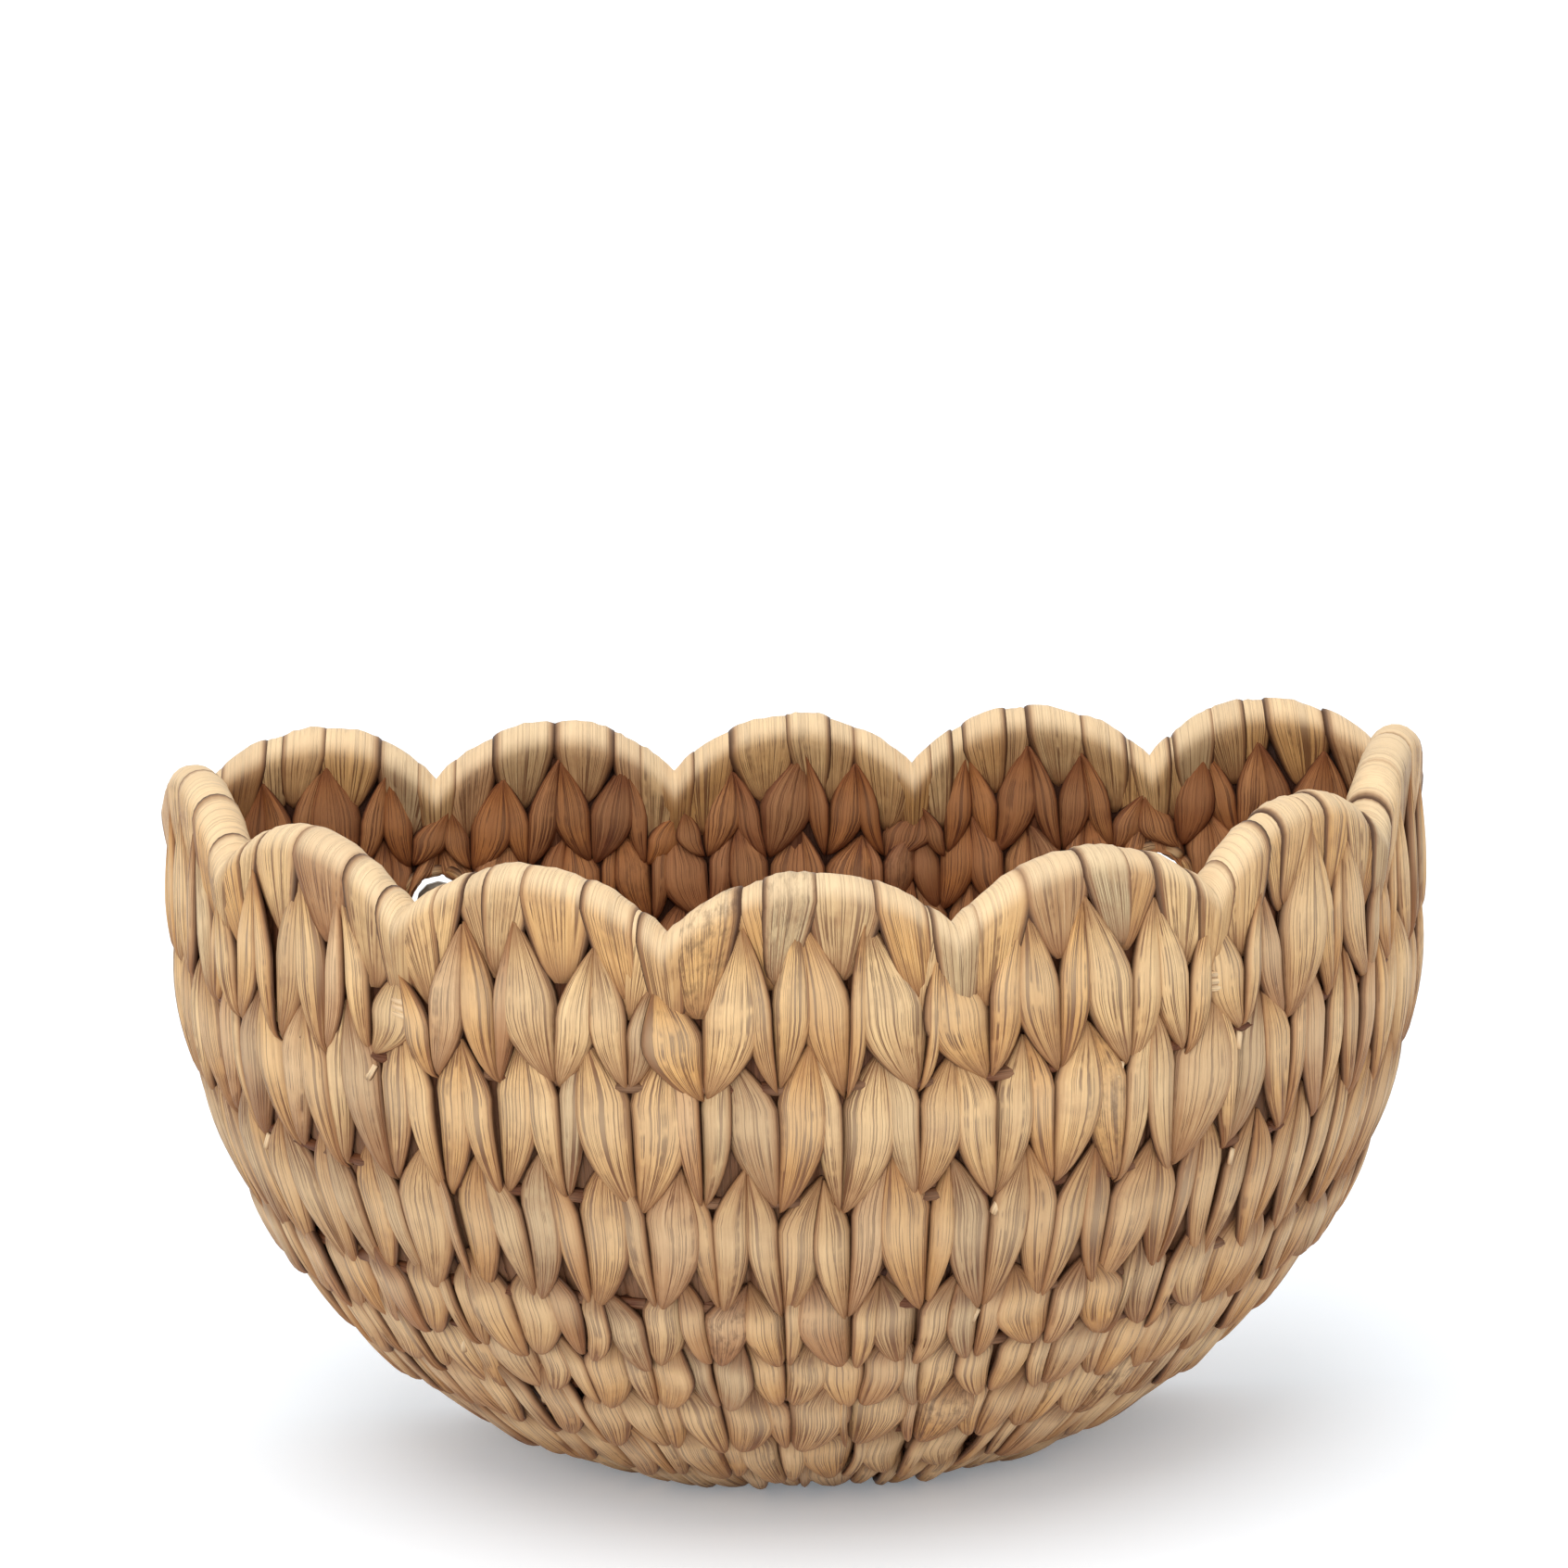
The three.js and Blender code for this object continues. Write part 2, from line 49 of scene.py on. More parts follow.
# Shape of the bowl, as the frame's solids have it
BASKET_WIDTH = 360.0
WIDEST_HEIGHT = 155.0
BASE_WIDTH = 152.0
RIM_LEAN_IN = 4.0
RIM_TOP = 207.0
WALL = 12.0
FIT = 0.3
SCALLOP_RISE = 17.0
RIM_RADIUS = 6.2
RIM_CORNER_BEND = 2.0
FRONT_SCALLOPS = 7
BACK_SCALLOPS = 5
PANEL_BACK = 90.0
FRONT_START = PANEL_BACK - WALL - FIT
PLAN_RATIO = (FRONT_START + PANEL_BACK) / (BASKET_WIDTH / 2)
BOWL_DROP = WIDEST_HEIGHT / math.sqrt(1 - (BASE_WIDTH / BASKET_WIDTH) ** 2)
MID = WALL / 2
PANEL_MID = PANEL_BACK - MID
VALLEY_WIRE = RIM_TOP - RIM_RADIUS - SCALLOP_RISE
PLATE_EDGE = 66.4
FLOOR_CLEARANCE = 0.1

# Corner between the front wall and the back panel, on the middle of the wall
CORNER_ARC = 2.5
CORNER_STRAIGHT = PANEL_MID - CORNER_ARC - FRONT_START
CORNER_LENGTH = CORNER_STRAIGHT + (CORNER_ARC + MID) * pi / 2

# Weave
COLUMNS_PER_SCALLOP = 4
LOW_PITCH = 18.6
BACK_PITCH = 17.1
FULL_COLUMNS = FRONT_SCALLOPS * COLUMNS_PER_SCALLOP
BACK_COLUMNS = BACK_SCALLOPS * COLUMNS_PER_SCALLOP

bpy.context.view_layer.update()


def middle(node):
    low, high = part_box(node)
    return (low + high) / 2 / MM


BASE_RING = middle("base_ring").z
HOOPS = [middle(f"hoop_wire_{row}").z for row in range(1, 8)]
EYES = {side: middle(f"hanging_eye_{side}") for side in ("right", "left")}


def wall_radius(z, depth=MID):
    """Half-width of the bowl at a height, on the surface that lies a depth inside the outer one."""
    z = np.asarray(z, float)
    half = BASKET_WIDTH / 2 - depth
    drop = np.clip((WIDEST_HEIGHT - z) / (BOWL_DROP - depth), 0, 0.999)
    climb = np.clip((z - WIDEST_HEIGHT) / (RIM_TOP - WIDEST_HEIGHT), 0, 2)
    return np.where(z < WIDEST_HEIGHT, half * np.sqrt(1 - drop**2), half - RIM_LEAN_IN * climb**2)


VALLEY_RADIUS = float(wall_radius(VALLEY_WIRE))
FRONT_LENGTH = pi * VALLEY_RADIUS
BACK_REACH = VALLEY_RADIUS - RIM_CORNER_BEND
BACK_SCALLOP_WIDTH = 2 * BACK_REACH / BACK_SCALLOPS
FRONT_SCALLOP_WIDTH = FRONT_LENGTH / FRONT_SCALLOPS
CORNER_SHARE = CORNER_LENGTH / FRONT_LENGTH


def scallop_height(count, width):
    """Height of the rim wire where count scallops have been passed; each is an arc of a circle."""
    radius = (width**2 / 4 + SCALLOP_RISE**2) / (2 * SCALLOP_RISE)
    across = (np.mod(count, 1) - 0.5) * width
    return VALLEY_WIRE + np.sqrt(radius**2 - across**2) - radius + SCALLOP_RISE


def front_rim(share):
    return scallop_height(np.clip(share, 0, 1) * FRONT_SCALLOPS, FRONT_SCALLOP_WIDTH)


def back_rim(share):
    count = (np.clip(share, -1, 1) + 1) / 2 * BACK_SCALLOPS
    return scallop_height(count, BACK_SCALLOP_WIDTH)


def unit(v):
    return v / np.maximum(np.linalg.norm(v, axis=-1, keepdims=True), 1e-9)


def front_wall(share, z):
    """Points on the middle of the front wall, with outward normals.

    share is 0 at the right corner and 1 at the left one. Beyond both ends the wall goes straight
    back and round the corner of the basket.
    """
    share, z = np.broadcast_arrays(share, z)
    angle = np.clip(share, 0, 1) * pi
    radius = wall_radius(z)
    slope = wall_radius(z + 0.5) - wall_radius(z - 0.5)
    cos, sin = np.cos(angle), np.sin(angle)
    hand = np.where(share < 0.5, 1.0, -1.0)
    over = np.maximum(np.abs(share - 0.5) - 0.5, 0) * FRONT_LENGTH
    bend = np.clip((over - CORNER_STRAIGHT) / (CORNER_ARC + MID), 0, pi / 2)
    x = radius * cos - hand * CORNER_ARC * (1 - np.cos(bend))
    y = FRONT_START - PLAN_RATIO * radius * sin
    y = y + np.minimum(over, CORNER_STRAIGHT) + CORNER_ARC * np.sin(bend)
    outward = np.stack([
        PLAN_RATIO * cos * np.cos(bend),
        -sin + np.sin(bend),
        -PLAN_RATIO * slope * np.cos(bend),
    ], -1)
    return np.stack([x, y, z], -1), unit(outward)


def front_wall_inside(share, z):
    point, normal = front_wall(share, z)
    return point, -normal


def flat_panel(half_width, share, z, facing):
    share, z = np.broadcast_arrays(share, z)
    normal = np.zeros(share.shape + (3,))
    normal[..., 1] = facing
    return np.stack([share * half_width, 0 * z + PANEL_MID, z], -1), normal


def back_panel(share, z):
    """Points on the middle of the back panel, with rearward normals; share runs from -1 to 1 along x."""
    return flat_panel(wall_radius(z) - CORNER_ARC, share, z, 1)


def back_panel_inside(share, z):
    return flat_panel(wall_radius(z, WALL), share, z, -1)


def base_plate(share, y, facing=1):
    """Points on the middle of the base, with upward normals; share runs from -1 to 1 along x."""
    share, y = np.broadcast_arrays(share, y)
    reach = np.clip((FRONT_START - y) / (PLAN_RATIO * PLATE_EDGE), 0, 0.98)
    half_width = PLATE_EDGE * np.sqrt(1 - reach**2)
    normal = np.zeros(share.shape + (3,))
    normal[..., 2] = facing
    return np.stack([share * half_width, y, 0 * y + MID], -1), normal


def base_plate_under(share, y):
    return base_plate(share, y, -1)


# Closed, crowned bodies of leaf. A ring of points goes over the top of the body and back underneath.
def ring_shape(top_points=11, under_points=3, square=1.15, belly=0.3):
    turn = np.linspace(-pi / 2, pi / 2, top_points)
    under = np.linspace(0.6, -0.6, under_points)
    across = np.concatenate([np.sin(turn), under])
    height = np.concatenate([np.cos(turn) ** square, -belly * np.sqrt(1 - under**2)])
    return across, height


LEAF_RING = ring_shape()
PLAIN_RING = ring_shape(7, 3)
FAN_RING = ring_shape(13, 4, 0.5, 0.9)


def new_object(name, data):
    made = bpy.data.objects.new(name, data)
    bpy.context.scene.collection.objects.link(made)
    return made


class Bodies:
    """Gathers bodies and turns them into one mesh, with values at each point for the materials."""

    def __init__(self):
        self.points, self.faces, self.count = [], [], 0
        self.place, self.tone, self.edge = [], [], []

    def add(self, points, across, along, share, edge, tone):
        """points has the shape (bodies, rings, points of a ring, 3)."""
        n, m, k, _ = points.shape
        start = self.count + np.arange(n)[:, None, None] * m * k
        ring = np.arange(m - 1)[None, :, None] * k
        here = np.arange(k)[None, None, :]
        after = (here + 1) % k
        corners = [ring + here, ring + k + here, ring + k + after, ring + after]
        quads = np.stack([start + corner for corner in corners], -1)
        self.faces += quads.reshape(-1, 4).tolist()
        first = start[:, 0, 0][:, None] + np.arange(k)
        self.faces += first.tolist()
        self.faces += (first[:, ::-1] + (m - 1) * k).tolist()
        self.points.append(points.reshape(-1, 3))
        self.place.append(np.stack(np.broadcast_arrays(across, along, share), -1).reshape(-1, 3))
        self.edge.append(np.broadcast_to(edge, (n, m, k)).ravel())
        self.tone.append(np.broadcast_to(tone[:, None, None, :], (n, m, k, 4)).reshape(-1, 4))
        self.count += n * m * k

    def build(self, name, material, reshape=None):
        points = np.concatenate(self.points)
        if reshape:
            points = reshape(points)
            self.faces = [face for face in self.faces if not spans_opening(points[face])]
        points[:, 2] = np.maximum(points[:, 2], FLOOR_CLEARANCE)
        mesh = bpy.data.meshes.new(name)
        mesh.from_pydata((points * MM).tolist(), [], self.faces)
        self.store(mesh, "place", "FLOAT_VECTOR", "vector", self.place)
        self.store(mesh, "tone", "FLOAT_COLOR", "color", self.tone)
        self.store(mesh, "edge", "FLOAT", "value", self.edge)
        mesh.polygons.foreach_set("use_smooth", np.ones(len(mesh.polygons), bool))
        mesh.materials.append(material)
        return new_object(name, mesh)

    def store(self, mesh, name, kind, field, values):
        layer = mesh.attributes.new(name, kind, "POINT")
        layer.data.foreach_set(field, np.concatenate(values).astype(np.float32).ravel())


def wander(rng, rows, length, knots, size):
    """Smooth random values, one row each: random knots joined by cosine steps."""
    values = rng.uniform(-size, size, (rows, knots))
    place = np.linspace(0, knots - 1.001, length)
    index = place.astype(int)
    blend = (1 - np.cos((place - index) * pi)) / 2
    return values[:, index] * (1 - blend) + values[:, index + 1] * blend


def creases(rng, n, m, k):
    """Random heights of the lengthwise ribs, which change slowly along a leaf."""
    steady = rng.uniform(-1, 1, (n, 1, k))
    changing = rng.uniform(-1, 1, (n, 1, k)) * wander(rng, n, m, 3, 1)[..., None]
    return steady + 0.5 * changing


# Each body takes its pattern from a place of its own, up to this far off in mm
PATTERN_SPREAD = 400


def add_patterned(bodies, rng, points, middle, ring, widest, tone):
    """Adds bodies with their pattern: mm across and along each one, and shares of its length."""
    across, height = ring
    n = len(points)
    steps = np.linalg.norm(np.diff(middle, axis=1), axis=-1)
    along = np.concatenate([np.zeros((n, 1)), np.cumsum(steps, 1)], 1)
    offset = rng.uniform(0, PATTERN_SPREAD, (n, 2))
    across_mm = across * widest[:, None, None] + offset[:, :1, None]
    along_mm = along[..., None] + offset[:, 1:, None]
    share = (along / along[:, -1:])[..., None]
    bodies.add(points, across_mm, along_mm, share, np.clip(height, 0, 1), tone)


def sweep(bodies, rng, centre, normal, half, lift, thick, tone, ribs=0.3):
    """Adds plain bodies along centre, an array (bodies, rings, 3); half, lift and thick are in mm."""
    across, height = PLAIN_RING
    n, m, _ = centre.shape
    k = len(across)
    half, lift, thick = (np.broadcast_to(value, (n, m)) for value in (half, lift, thick))
    forward = unit(np.gradient(centre, axis=1))
    sideways = unit(np.cross(normal, forward))
    upright = np.cross(forward, sideways)
    left, right = 1 + wander(rng, n, m, 4, 0.08), 1 + wander(rng, n, m, 4, 0.08)
    reach = np.where(across < 0, left[..., None], right[..., None]) * half[..., None] * across
    slim = half / half.max(1, keepdims=True)
    rib = ribs * creases(rng, n, m, k) * np.clip(height, 0, 1) * slim[..., None]
    rise = lift[..., None] + height * thick[..., None] + rib
    points = centre[:, :, None] + sideways[:, :, None] * reach[..., None]
    points = points + upright[:, :, None] * rise[..., None]
    add_patterned(bodies, rng, points, centre, PLAIN_RING, half.max(1), tone)


def ring_steps(count):
    """Shares of a leaf's length at its rings, closer together near both ends."""
    even = np.linspace(0, 1, count)
    return (0.5 * even + 0.25 * (1 - np.cos(even * pi)))[None, :]


def random_tones(rng, n, dark=0.0):
    """Values for each leaf: straw to golden, green to pink, darkness, and how mottled it is."""
    tone = rng.uniform(0, 1, (n, 4))
    tone[:, 1] = np.clip(rng.normal(0.5, 0.24, n), 0, 1)
    tone[:, 2] = np.clip(rng.beta(1.6, 4.0, n) + dark, 0, 1)
    tone[:, 3] = (rng.uniform(0, 1, n) > 0.98) * rng.uniform(0.5, 1, n)
    return tone


def hand_of(surface):
    """1 where a surface's places run the same way as a body's points, otherwise -1."""
    here, normal = surface(0.4, 60.0)
    aside, _ = surface(0.41, 60.0)
    down, _ = surface(0.4, 59.0)
    return 1.0 if np.dot(aside - here, np.cross(normal, down - here)) > 0 else -1.0


LEAF_RIBS = 0.28


def lay(bodies, rng, surface, place, height, half, lift, thick, tilt, tone):
    """Adds leaves whose rings lie level on a surface; place and half are shares of it, tilt is in mm."""
    across, crown = LEAF_RING
    n, m = place.shape
    k = len(across)
    given = (half, lift, thick, tilt)
    half, lift, thick, tilt = (np.broadcast_to(value, (n, m))[..., None] for value in given)
    left, right = (1 + wander(rng, n, m, 5, 0.06) for _ in range(2))
    aside = hand_of(surface) * across * np.where(across < 0, left[..., None], right[..., None])
    spot, normal = surface(place[..., None] + half * aside, height[..., None])
    width = np.linalg.norm(spot[..., 0, :] - spot[..., np.argmax(across), :], axis=-1) / 2
    widest = width.max(1)
    slim = (width / widest[:, None])[..., None]
    rib = LEAF_RIBS * creases(rng, n, m, k) * np.clip(crown, 0, 1) * slim
    rise = lift + tilt * aside + crown * thick + rib
    points = spot + normal * rise[..., None]
    add_patterned(bodies, rng, points, points[:, :, np.argmax(crown)], LEAF_RING, widest, tone)


# A row of V stitches. Each V is two leaves that hang from the apexes beside it and meet on the V's own line.
# line is the height of the feet and top that of the apexes, as a number or a function of the place. open is
# how far down a leaf the V stays open, belly where the leaf is widest and round how blunt its foot is, as
# shares. head and foot are how far both ends stand out from the middle of the wall, in mm.
Row = namedtuple("Row", "line top open belly round head foot")

RIM_STITCH = dict(open=0.49, belly=0.52, round=0.06, head=4.3, foot=3.0)
HIGH_STITCH = dict(open=0.34, belly=0.42, round=0.06, head=1.0, foot=3.0)
LOW_STITCH = dict(open=0.38, belly=0.55, round=0.36, head=0.8, foot=5.6)
FLOOR_STITCH = dict(open=0.4, belly=0.5, round=0.45, head=0.2, foot=2.8)
BACK_RIM_STITCH = dict(open=0.5, belly=0.5, round=0.1, head=4.0, foot=3.0)
BACK_STITCH = dict(open=0.42, belly=0.5, round=0.15, head=0.4, foot=3.2)
BACK_FLOOR_STITCH = dict(open=0.4, belly=0.5, round=0.3, head=-0.6, foot=2.6)
BASE_STITCH = dict(open=0.4, belly=0.5, round=0.35, head=-0.4, foot=2.8)

# How far the ends of the rows lie from the hoops and the rim wire, and the feet of the last rows
HEAD_BELOW_RIM_WIRE = 4.5
FOOT_BELOW_HOOP = 1.5
LOW_FOOT_BELOW_HOOP = 1.0
OVERLAP_HIGH = 11.0
OVERLAP_LOW = 8.5
FRONT_FLOOR_LINE = MID - 3.5
BACK_FLOOR_LINE = MID - 3.0

COLUMNS_COUNTED_ABOVE_HOOP = 6
CORNER_FOOT = 2.4
FINE_RINGS = 17
PLAIN_RINGS = 13

# How much darker some leaves are; inside the basket the darkness is painted shade
LOW_ROW_DARK = 0.03
BACK_DARK = 0.05
INSIDE_DARK = 0.1

# How far the middle of a leaf stands out from the middle of the wall, how far its foot is tucked back in,
# and how far it reaches past the line of its V and how narrow it gets, as shares of half a V
LEAF_LIFT = 2.2
FOOT_TUCK = 2.4
PAST_LINE = 0.03
NARROWEST = 0.03


def foot_taper(t, row):
    """Share of a leaf's width that its rounded foot leaves, down to a quarter at the end."""
    start = 0.88 - 0.22 * row.round
    rounded = np.clip((t - start) / (1 - start), 0, 1)
    return np.sqrt(1 - 0.94 * rounded**2)


def leaf_edges(t, row, bulge):
    """Middle and half-width of a leaf: 0 is on the line of its own V, 1 on the line of the apexes."""
    inner = (1 - PAST_LINE) * (1 - np.clip(t / row.open, 0, 1)) ** 1.45 - PAST_LINE
    before = np.sin(np.clip(t / row.belly, 0, 1) * pi / 2)
    after = np.clip((t - row.belly) / (1 - row.belly), 0, 1)
    narrowing = 1 - (1 - row.round) * after ** (2.0 - 1.4 * row.round)
    outer = np.where(t < row.belly, 1 + (bulge - 1) * before, bulge * narrowing)
    middle, half = (inner + outer) / 2, (outer - inner) / 2
    return middle, np.maximum(half * foot_taper(t, row), NARROWEST)


def leaf_body(rng, t, row, loose, side, over):
    """How far leaves stand out, how thick they are and how far they tilt sideways, in mm."""
    n = len(side)
    taper = foot_taper(t, row)
    ends = (row.head - LEAF_LIFT) * (1 - t) ** 3.5 + (row.foot - LEAF_LIFT) * t**3
    lift = LEAF_LIFT + loose * rng.uniform(-0.7, 0.7, (n, 1)) + ends - FOOT_TUCK * (1 - taper)
    swell = 1.2 + 2.0 * np.sin(pi * t) ** 0.75 + 1.5 * row.round * t**3
    thick = swell * rng.uniform(0.85, 1.15, (n, 1)) * (0.3 + 0.7 * taper)
    lean = 0.75 * over + rng.normal(0, 0.35, (n, 1))
    tilt = side * loose * lean * np.sin(pi * t) ** 0.7
    return lift, thick, tilt


def row_depth(row):
    """How far a row reaches, from its apexes to its feet, in mm."""
    top = row.top(np.array([0.5]))[0] if callable(row.top) else row.top
    return float(top - row.line)


def stitch_row(bodies, rng, surface, row, feet, pitch, rings, dark):
    """feet are the places of the V centres and pitch is what lies between them, as shares of the surface."""
    count = len(feet)
    n = 2 * count
    side = np.tile([-1.0, 1.0], count)[:, None]
    own = np.repeat(np.arange(count), 2) + np.tile([0, 1], count)
    depth = row_depth(row)
    loose = 1 + 1.2 * row.round
    t = ring_steps(rings)

    # The apexes between the V's, how far each is off its level, and which leaf there lies over the other
    apexes = np.append(feet - pitch / 2, feet[-1] + pitch / 2)
    apexes[1:-1] += pitch * np.clip(rng.normal(0, 0.08, count - 1) * loose, -0.2, 0.2)
    upper = rng.choice([-1.0, 1.0], count + 1)
    rises = np.clip(rng.normal(0, 0.045, count + 1), -0.09, 0.09) * loose * depth
    apex, rise = apexes[own][:, None], rises[own][:, None]
    over = -(upper[own] * side[:, 0])[:, None]

    # The line where the two leaves of a V meet, and how wide each leaf is
    foot = feet + pitch * np.clip(rng.normal(0, 0.06, count), -0.12, 0.12)
    sway = pitch * rng.normal(0, 0.05, count)
    line = np.repeat(foot, 2)[:, None] + np.repeat(sway, 2)[:, None] * np.sin(pi * t)
    bulge = np.where(over > 0, rng.uniform(1.12, 1.5, (n, 1)), rng.uniform(1.0, 1.1, (n, 1)))
    middle, half = leaf_edges(t, row, bulge)
    place = line + (apex - line) * middle

    top = row.top(apex) if callable(row.top) else row.top
    head_height = top + rise + rng.uniform(-0.7, 0.7, (n, 1))
    drop = loose * depth * rng.uniform(-0.045, 0.035, count)
    foot_height = row.line + np.repeat(drop, 2)[:, None] + rng.uniform(-0.8, 0.8, (n, 1))
    height = head_height + (foot_height - head_height) * t
    lift, thick, tilt = leaf_body(rng, t, row, loose, side, over)
    tone = random_tones(rng, n, dark)
    lay(bodies, rng, surface, place, height, half * np.abs(apex - line), lift, thick, tilt, tone)


def front_rows():
    """Rows from the rim down, with the number of V columns in each."""
    top = lambda share: front_rim(share) - HEAD_BELOW_RIM_WIRE
    rows = [(Row(HOOPS[6] - FOOT_BELOW_HOOP, top, **RIM_STITCH), FULL_COLUMNS)]
    for index in (5, 4):
        line, top = HOOPS[index] - FOOT_BELOW_HOOP, HOOPS[index + 1] + OVERLAP_HIGH
        rows.append((Row(line, top, **HIGH_STITCH), FULL_COLUMNS))
    for index in (3, 2, 1, 0):
        line = HOOPS[index] - LOW_FOOT_BELOW_HOOP
        top = HOOPS[index + 1] + (OVERLAP_HIGH if index == 3 else OVERLAP_LOW)
        columns = low_columns(HOOPS[index] + COLUMNS_COUNTED_ABOVE_HOOP)
        rows.append((Row(line, top, **LOW_STITCH), columns))
    floor_row = Row(FRONT_FLOOR_LINE, HOOPS[0] + OVERLAP_LOW, **FLOOR_STITCH)
    rows.append((floor_row, low_columns(HOOPS[0])))
    return rows


def low_columns(z):
    """An even number of columns, so that an apex stays at the middle of the front."""
    wanted = pi * float(wall_radius(z, 0)) / LOW_PITCH
    return min(2 * round(wanted / 2), FULL_COLUMNS)


# The places in the middle of both corners
CORNERS = {"right": -CORNER_SHARE / 2, "left": 1 + CORNER_SHARE / 2}


def centres(columns, low=0.0, high=1.0):
    pitch = (high - low) / columns
    return low + (np.arange(columns) + 0.5) * pitch, pitch


def make_front_leaves(surface, name, material, seed, outside):
    """Leaves of the front wall. Outside they have more rings and go on round both corners."""
    rng = np.random.default_rng(seed)
    bodies = Bodies()
    rings = FINE_RINGS if outside else PLAIN_RINGS
    dark = 0.0 if outside else INSIDE_DARK
    for row, columns in front_rows():
        feet, pitch = centres(columns)
        feet = feet + rng.uniform(-0.07, 0.07) * pitch
        row_dark = dark + (LOW_ROW_DARK if row.line < HOOPS[3] else 0.0)
        stitch_row(bodies, rng, surface, row, feet, pitch, rings, row_dark)
        if outside:
            corner_row = row._replace(foot=min(row.foot, CORNER_FOOT))
            for place in CORNERS.values():
                stitch_row(bodies, rng, surface, corner_row, np.array([place]), CORNER_SHARE, rings, dark)
    return bodies.build(name, material)


def back_rows():
    """Rows from the rim down: one on each hoop, and one half way between the wide-set hoops."""
    lines = HOOPS[:5] + [(HOOPS[4] + HOOPS[5]) / 2, HOOPS[5], (HOOPS[5] + HOOPS[6]) / 2, HOOPS[6]]
    lines.append(HOOPS[6] + (HOOPS[6] - HOOPS[5]) / 2)
    top = lambda share: back_rim(share) - HEAD_BELOW_RIM_WIRE
    rows = [Row(lines[-1] - FOOT_BELOW_HOOP, top, **BACK_RIM_STITCH)]
    for line, above in zip(lines[-2::-1], lines[:0:-1]):
        rows.append(Row(line - FOOT_BELOW_HOOP, above + OVERLAP_LOW, **BACK_STITCH))
    rows.append(Row(BACK_FLOOR_LINE, HOOPS[0] + OVERLAP_LOW, **BACK_FLOOR_STITCH))
    return rows


def make_back_leaves(surface, name, material, seed, dark):
    rng = np.random.default_rng(seed)
    bodies = Bodies()
    for row in back_rows():
        width = 2 * (float(wall_radius(row.line)) - CORNER_ARC)
        columns = min(2 * round(width / BACK_PITCH / 2), BACK_COLUMNS)
        feet, pitch = centres(columns, -1.0, 1.0)
        stitch_row(bodies, rng, surface, row, feet, pitch, PLAIN_RINGS, dark)
    return bodies.build(name, material, part_at_openings)


# Openings in the back panel, where the leaves part round the hanging eyes
OPENING_HALF_WIDTH = 9.0
OPENING_HALF_HEIGHT = 9.6
OPENING_MIDDLE_ABOVE_EYE = -1.2
OPENING_EDGE_OUT = 1.2
OPENING_EDGE_DEPTH = 2.6
OPENING_EDGE_LEAN = 0.8

# Faces near an opening are left out where they come too near its middle, both in half sizes of the opening
NEAR_OPENING = 3
TOO_NEAR_MIDDLE = 0.88


def opening_middle(eye):
    return np.array([eye.x, eye.z + OPENING_MIDDLE_ABOVE_EYE])


def part_at_openings(points):
    """Pushes what crosses an opening out to its edge, and what lies round it a little aside."""
    for eye in EYES.values():
        offset = points[:, [0, 2]] - opening_middle(eye)
        scaled = offset / [OPENING_HALF_WIDTH, OPENING_HALF_HEIGHT]
        reach = np.maximum(np.linalg.norm(scaled, axis=1), 1e-3)
        pushed = (reach**4 + 1) ** 0.25
        points[:, [0, 2]] = opening_middle(eye) + offset * (pushed / reach)[:, None]
    return points


def spans_opening(corners):
    """True for a face that part_at_openings has stretched from one side of an opening to the other."""
    for eye in EYES.values():
        scaled = (corners[:, [0, 2]] - opening_middle(eye)) / [OPENING_HALF_WIDTH, OPENING_HALF_HEIGHT]
        if np.abs(scaled).max() < NEAR_OPENING:
            between = (scaled[:, None] + scaled[None]) / 2
            if np.linalg.norm(between, axis=-1).min() < TOO_NEAR_MIDDLE:
                return True
    return False


def opening_edge(eye, facing):
    """The edge of an opening; share runs once round it, and facing is 1 at the back and -1 inside."""

    def path(share):
        turn = share * 2 * pi
        x, z = np.cos(turn), np.sin(turn)
        across, up = opening_middle(eye)
        point = np.stack([
            across + (OPENING_HALF_WIDTH + OPENING_EDGE_OUT) * x,
            0 * turn + PANEL_MID + OPENING_EDGE_DEPTH * facing,
            up + (OPENING_HALF_HEIGHT + OPENING_EDGE_OUT) * z,
        ], -1)
        normal = np.stack([-OPENING_EDGE_LEAN * x, 0 * turn + facing, -OPENING_EDGE_LEAN * z], -1)
        return point, unit(normal)

    return path


def make_opening_edges(material):
    """Strips bound round both openings, at the back and inside."""
    rng = np.random.default_rng(SEED + 17)
    bodies = Bodies()
    for eye in EYES.values():
        for facing in (1, -1):
            strip_run(bodies, rng, opening_edge(eye, facing), count=9, half=2.5, lift=0.0, thick=2.2)
    return bodies.build("opening_edge_leaves", material)


# The front of the base, and its rows of stitches
BASE_FRONT = FRONT_START - PLAN_RATIO * PLATE_EDGE
FIRST_BASE_LINE = FRONT_START - 14
BASE_ROW_STEP = 13.0
BASE_ROW_DEPTH = 20.0


def make_base_leaves(surface, name, material, seed):
    """Rows of stitches over the base, from the back panel to the front."""
    rng = np.random.default_rng(seed)
    bodies = Bodies()
    for line in np.arange(FIRST_BASE_LINE, BASE_FRONT + 3, -BASE_ROW_STEP):
        reach = PLATE_EDGE * math.sqrt(1 - ((FRONT_START - line) / (PLAN_RATIO * PLATE_EDGE)) ** 2)
        feet, pitch = centres(max(2, 2 * round(reach / LOW_PITCH)), -1.0, 1.0)
        row = Row(line, line + BASE_ROW_DEPTH, **BASE_STITCH)
        stitch_row(bodies, rng, surface, row, feet, pitch, PLAIN_RINGS, INSIDE_DARK)
    return bodies.build(name, material)


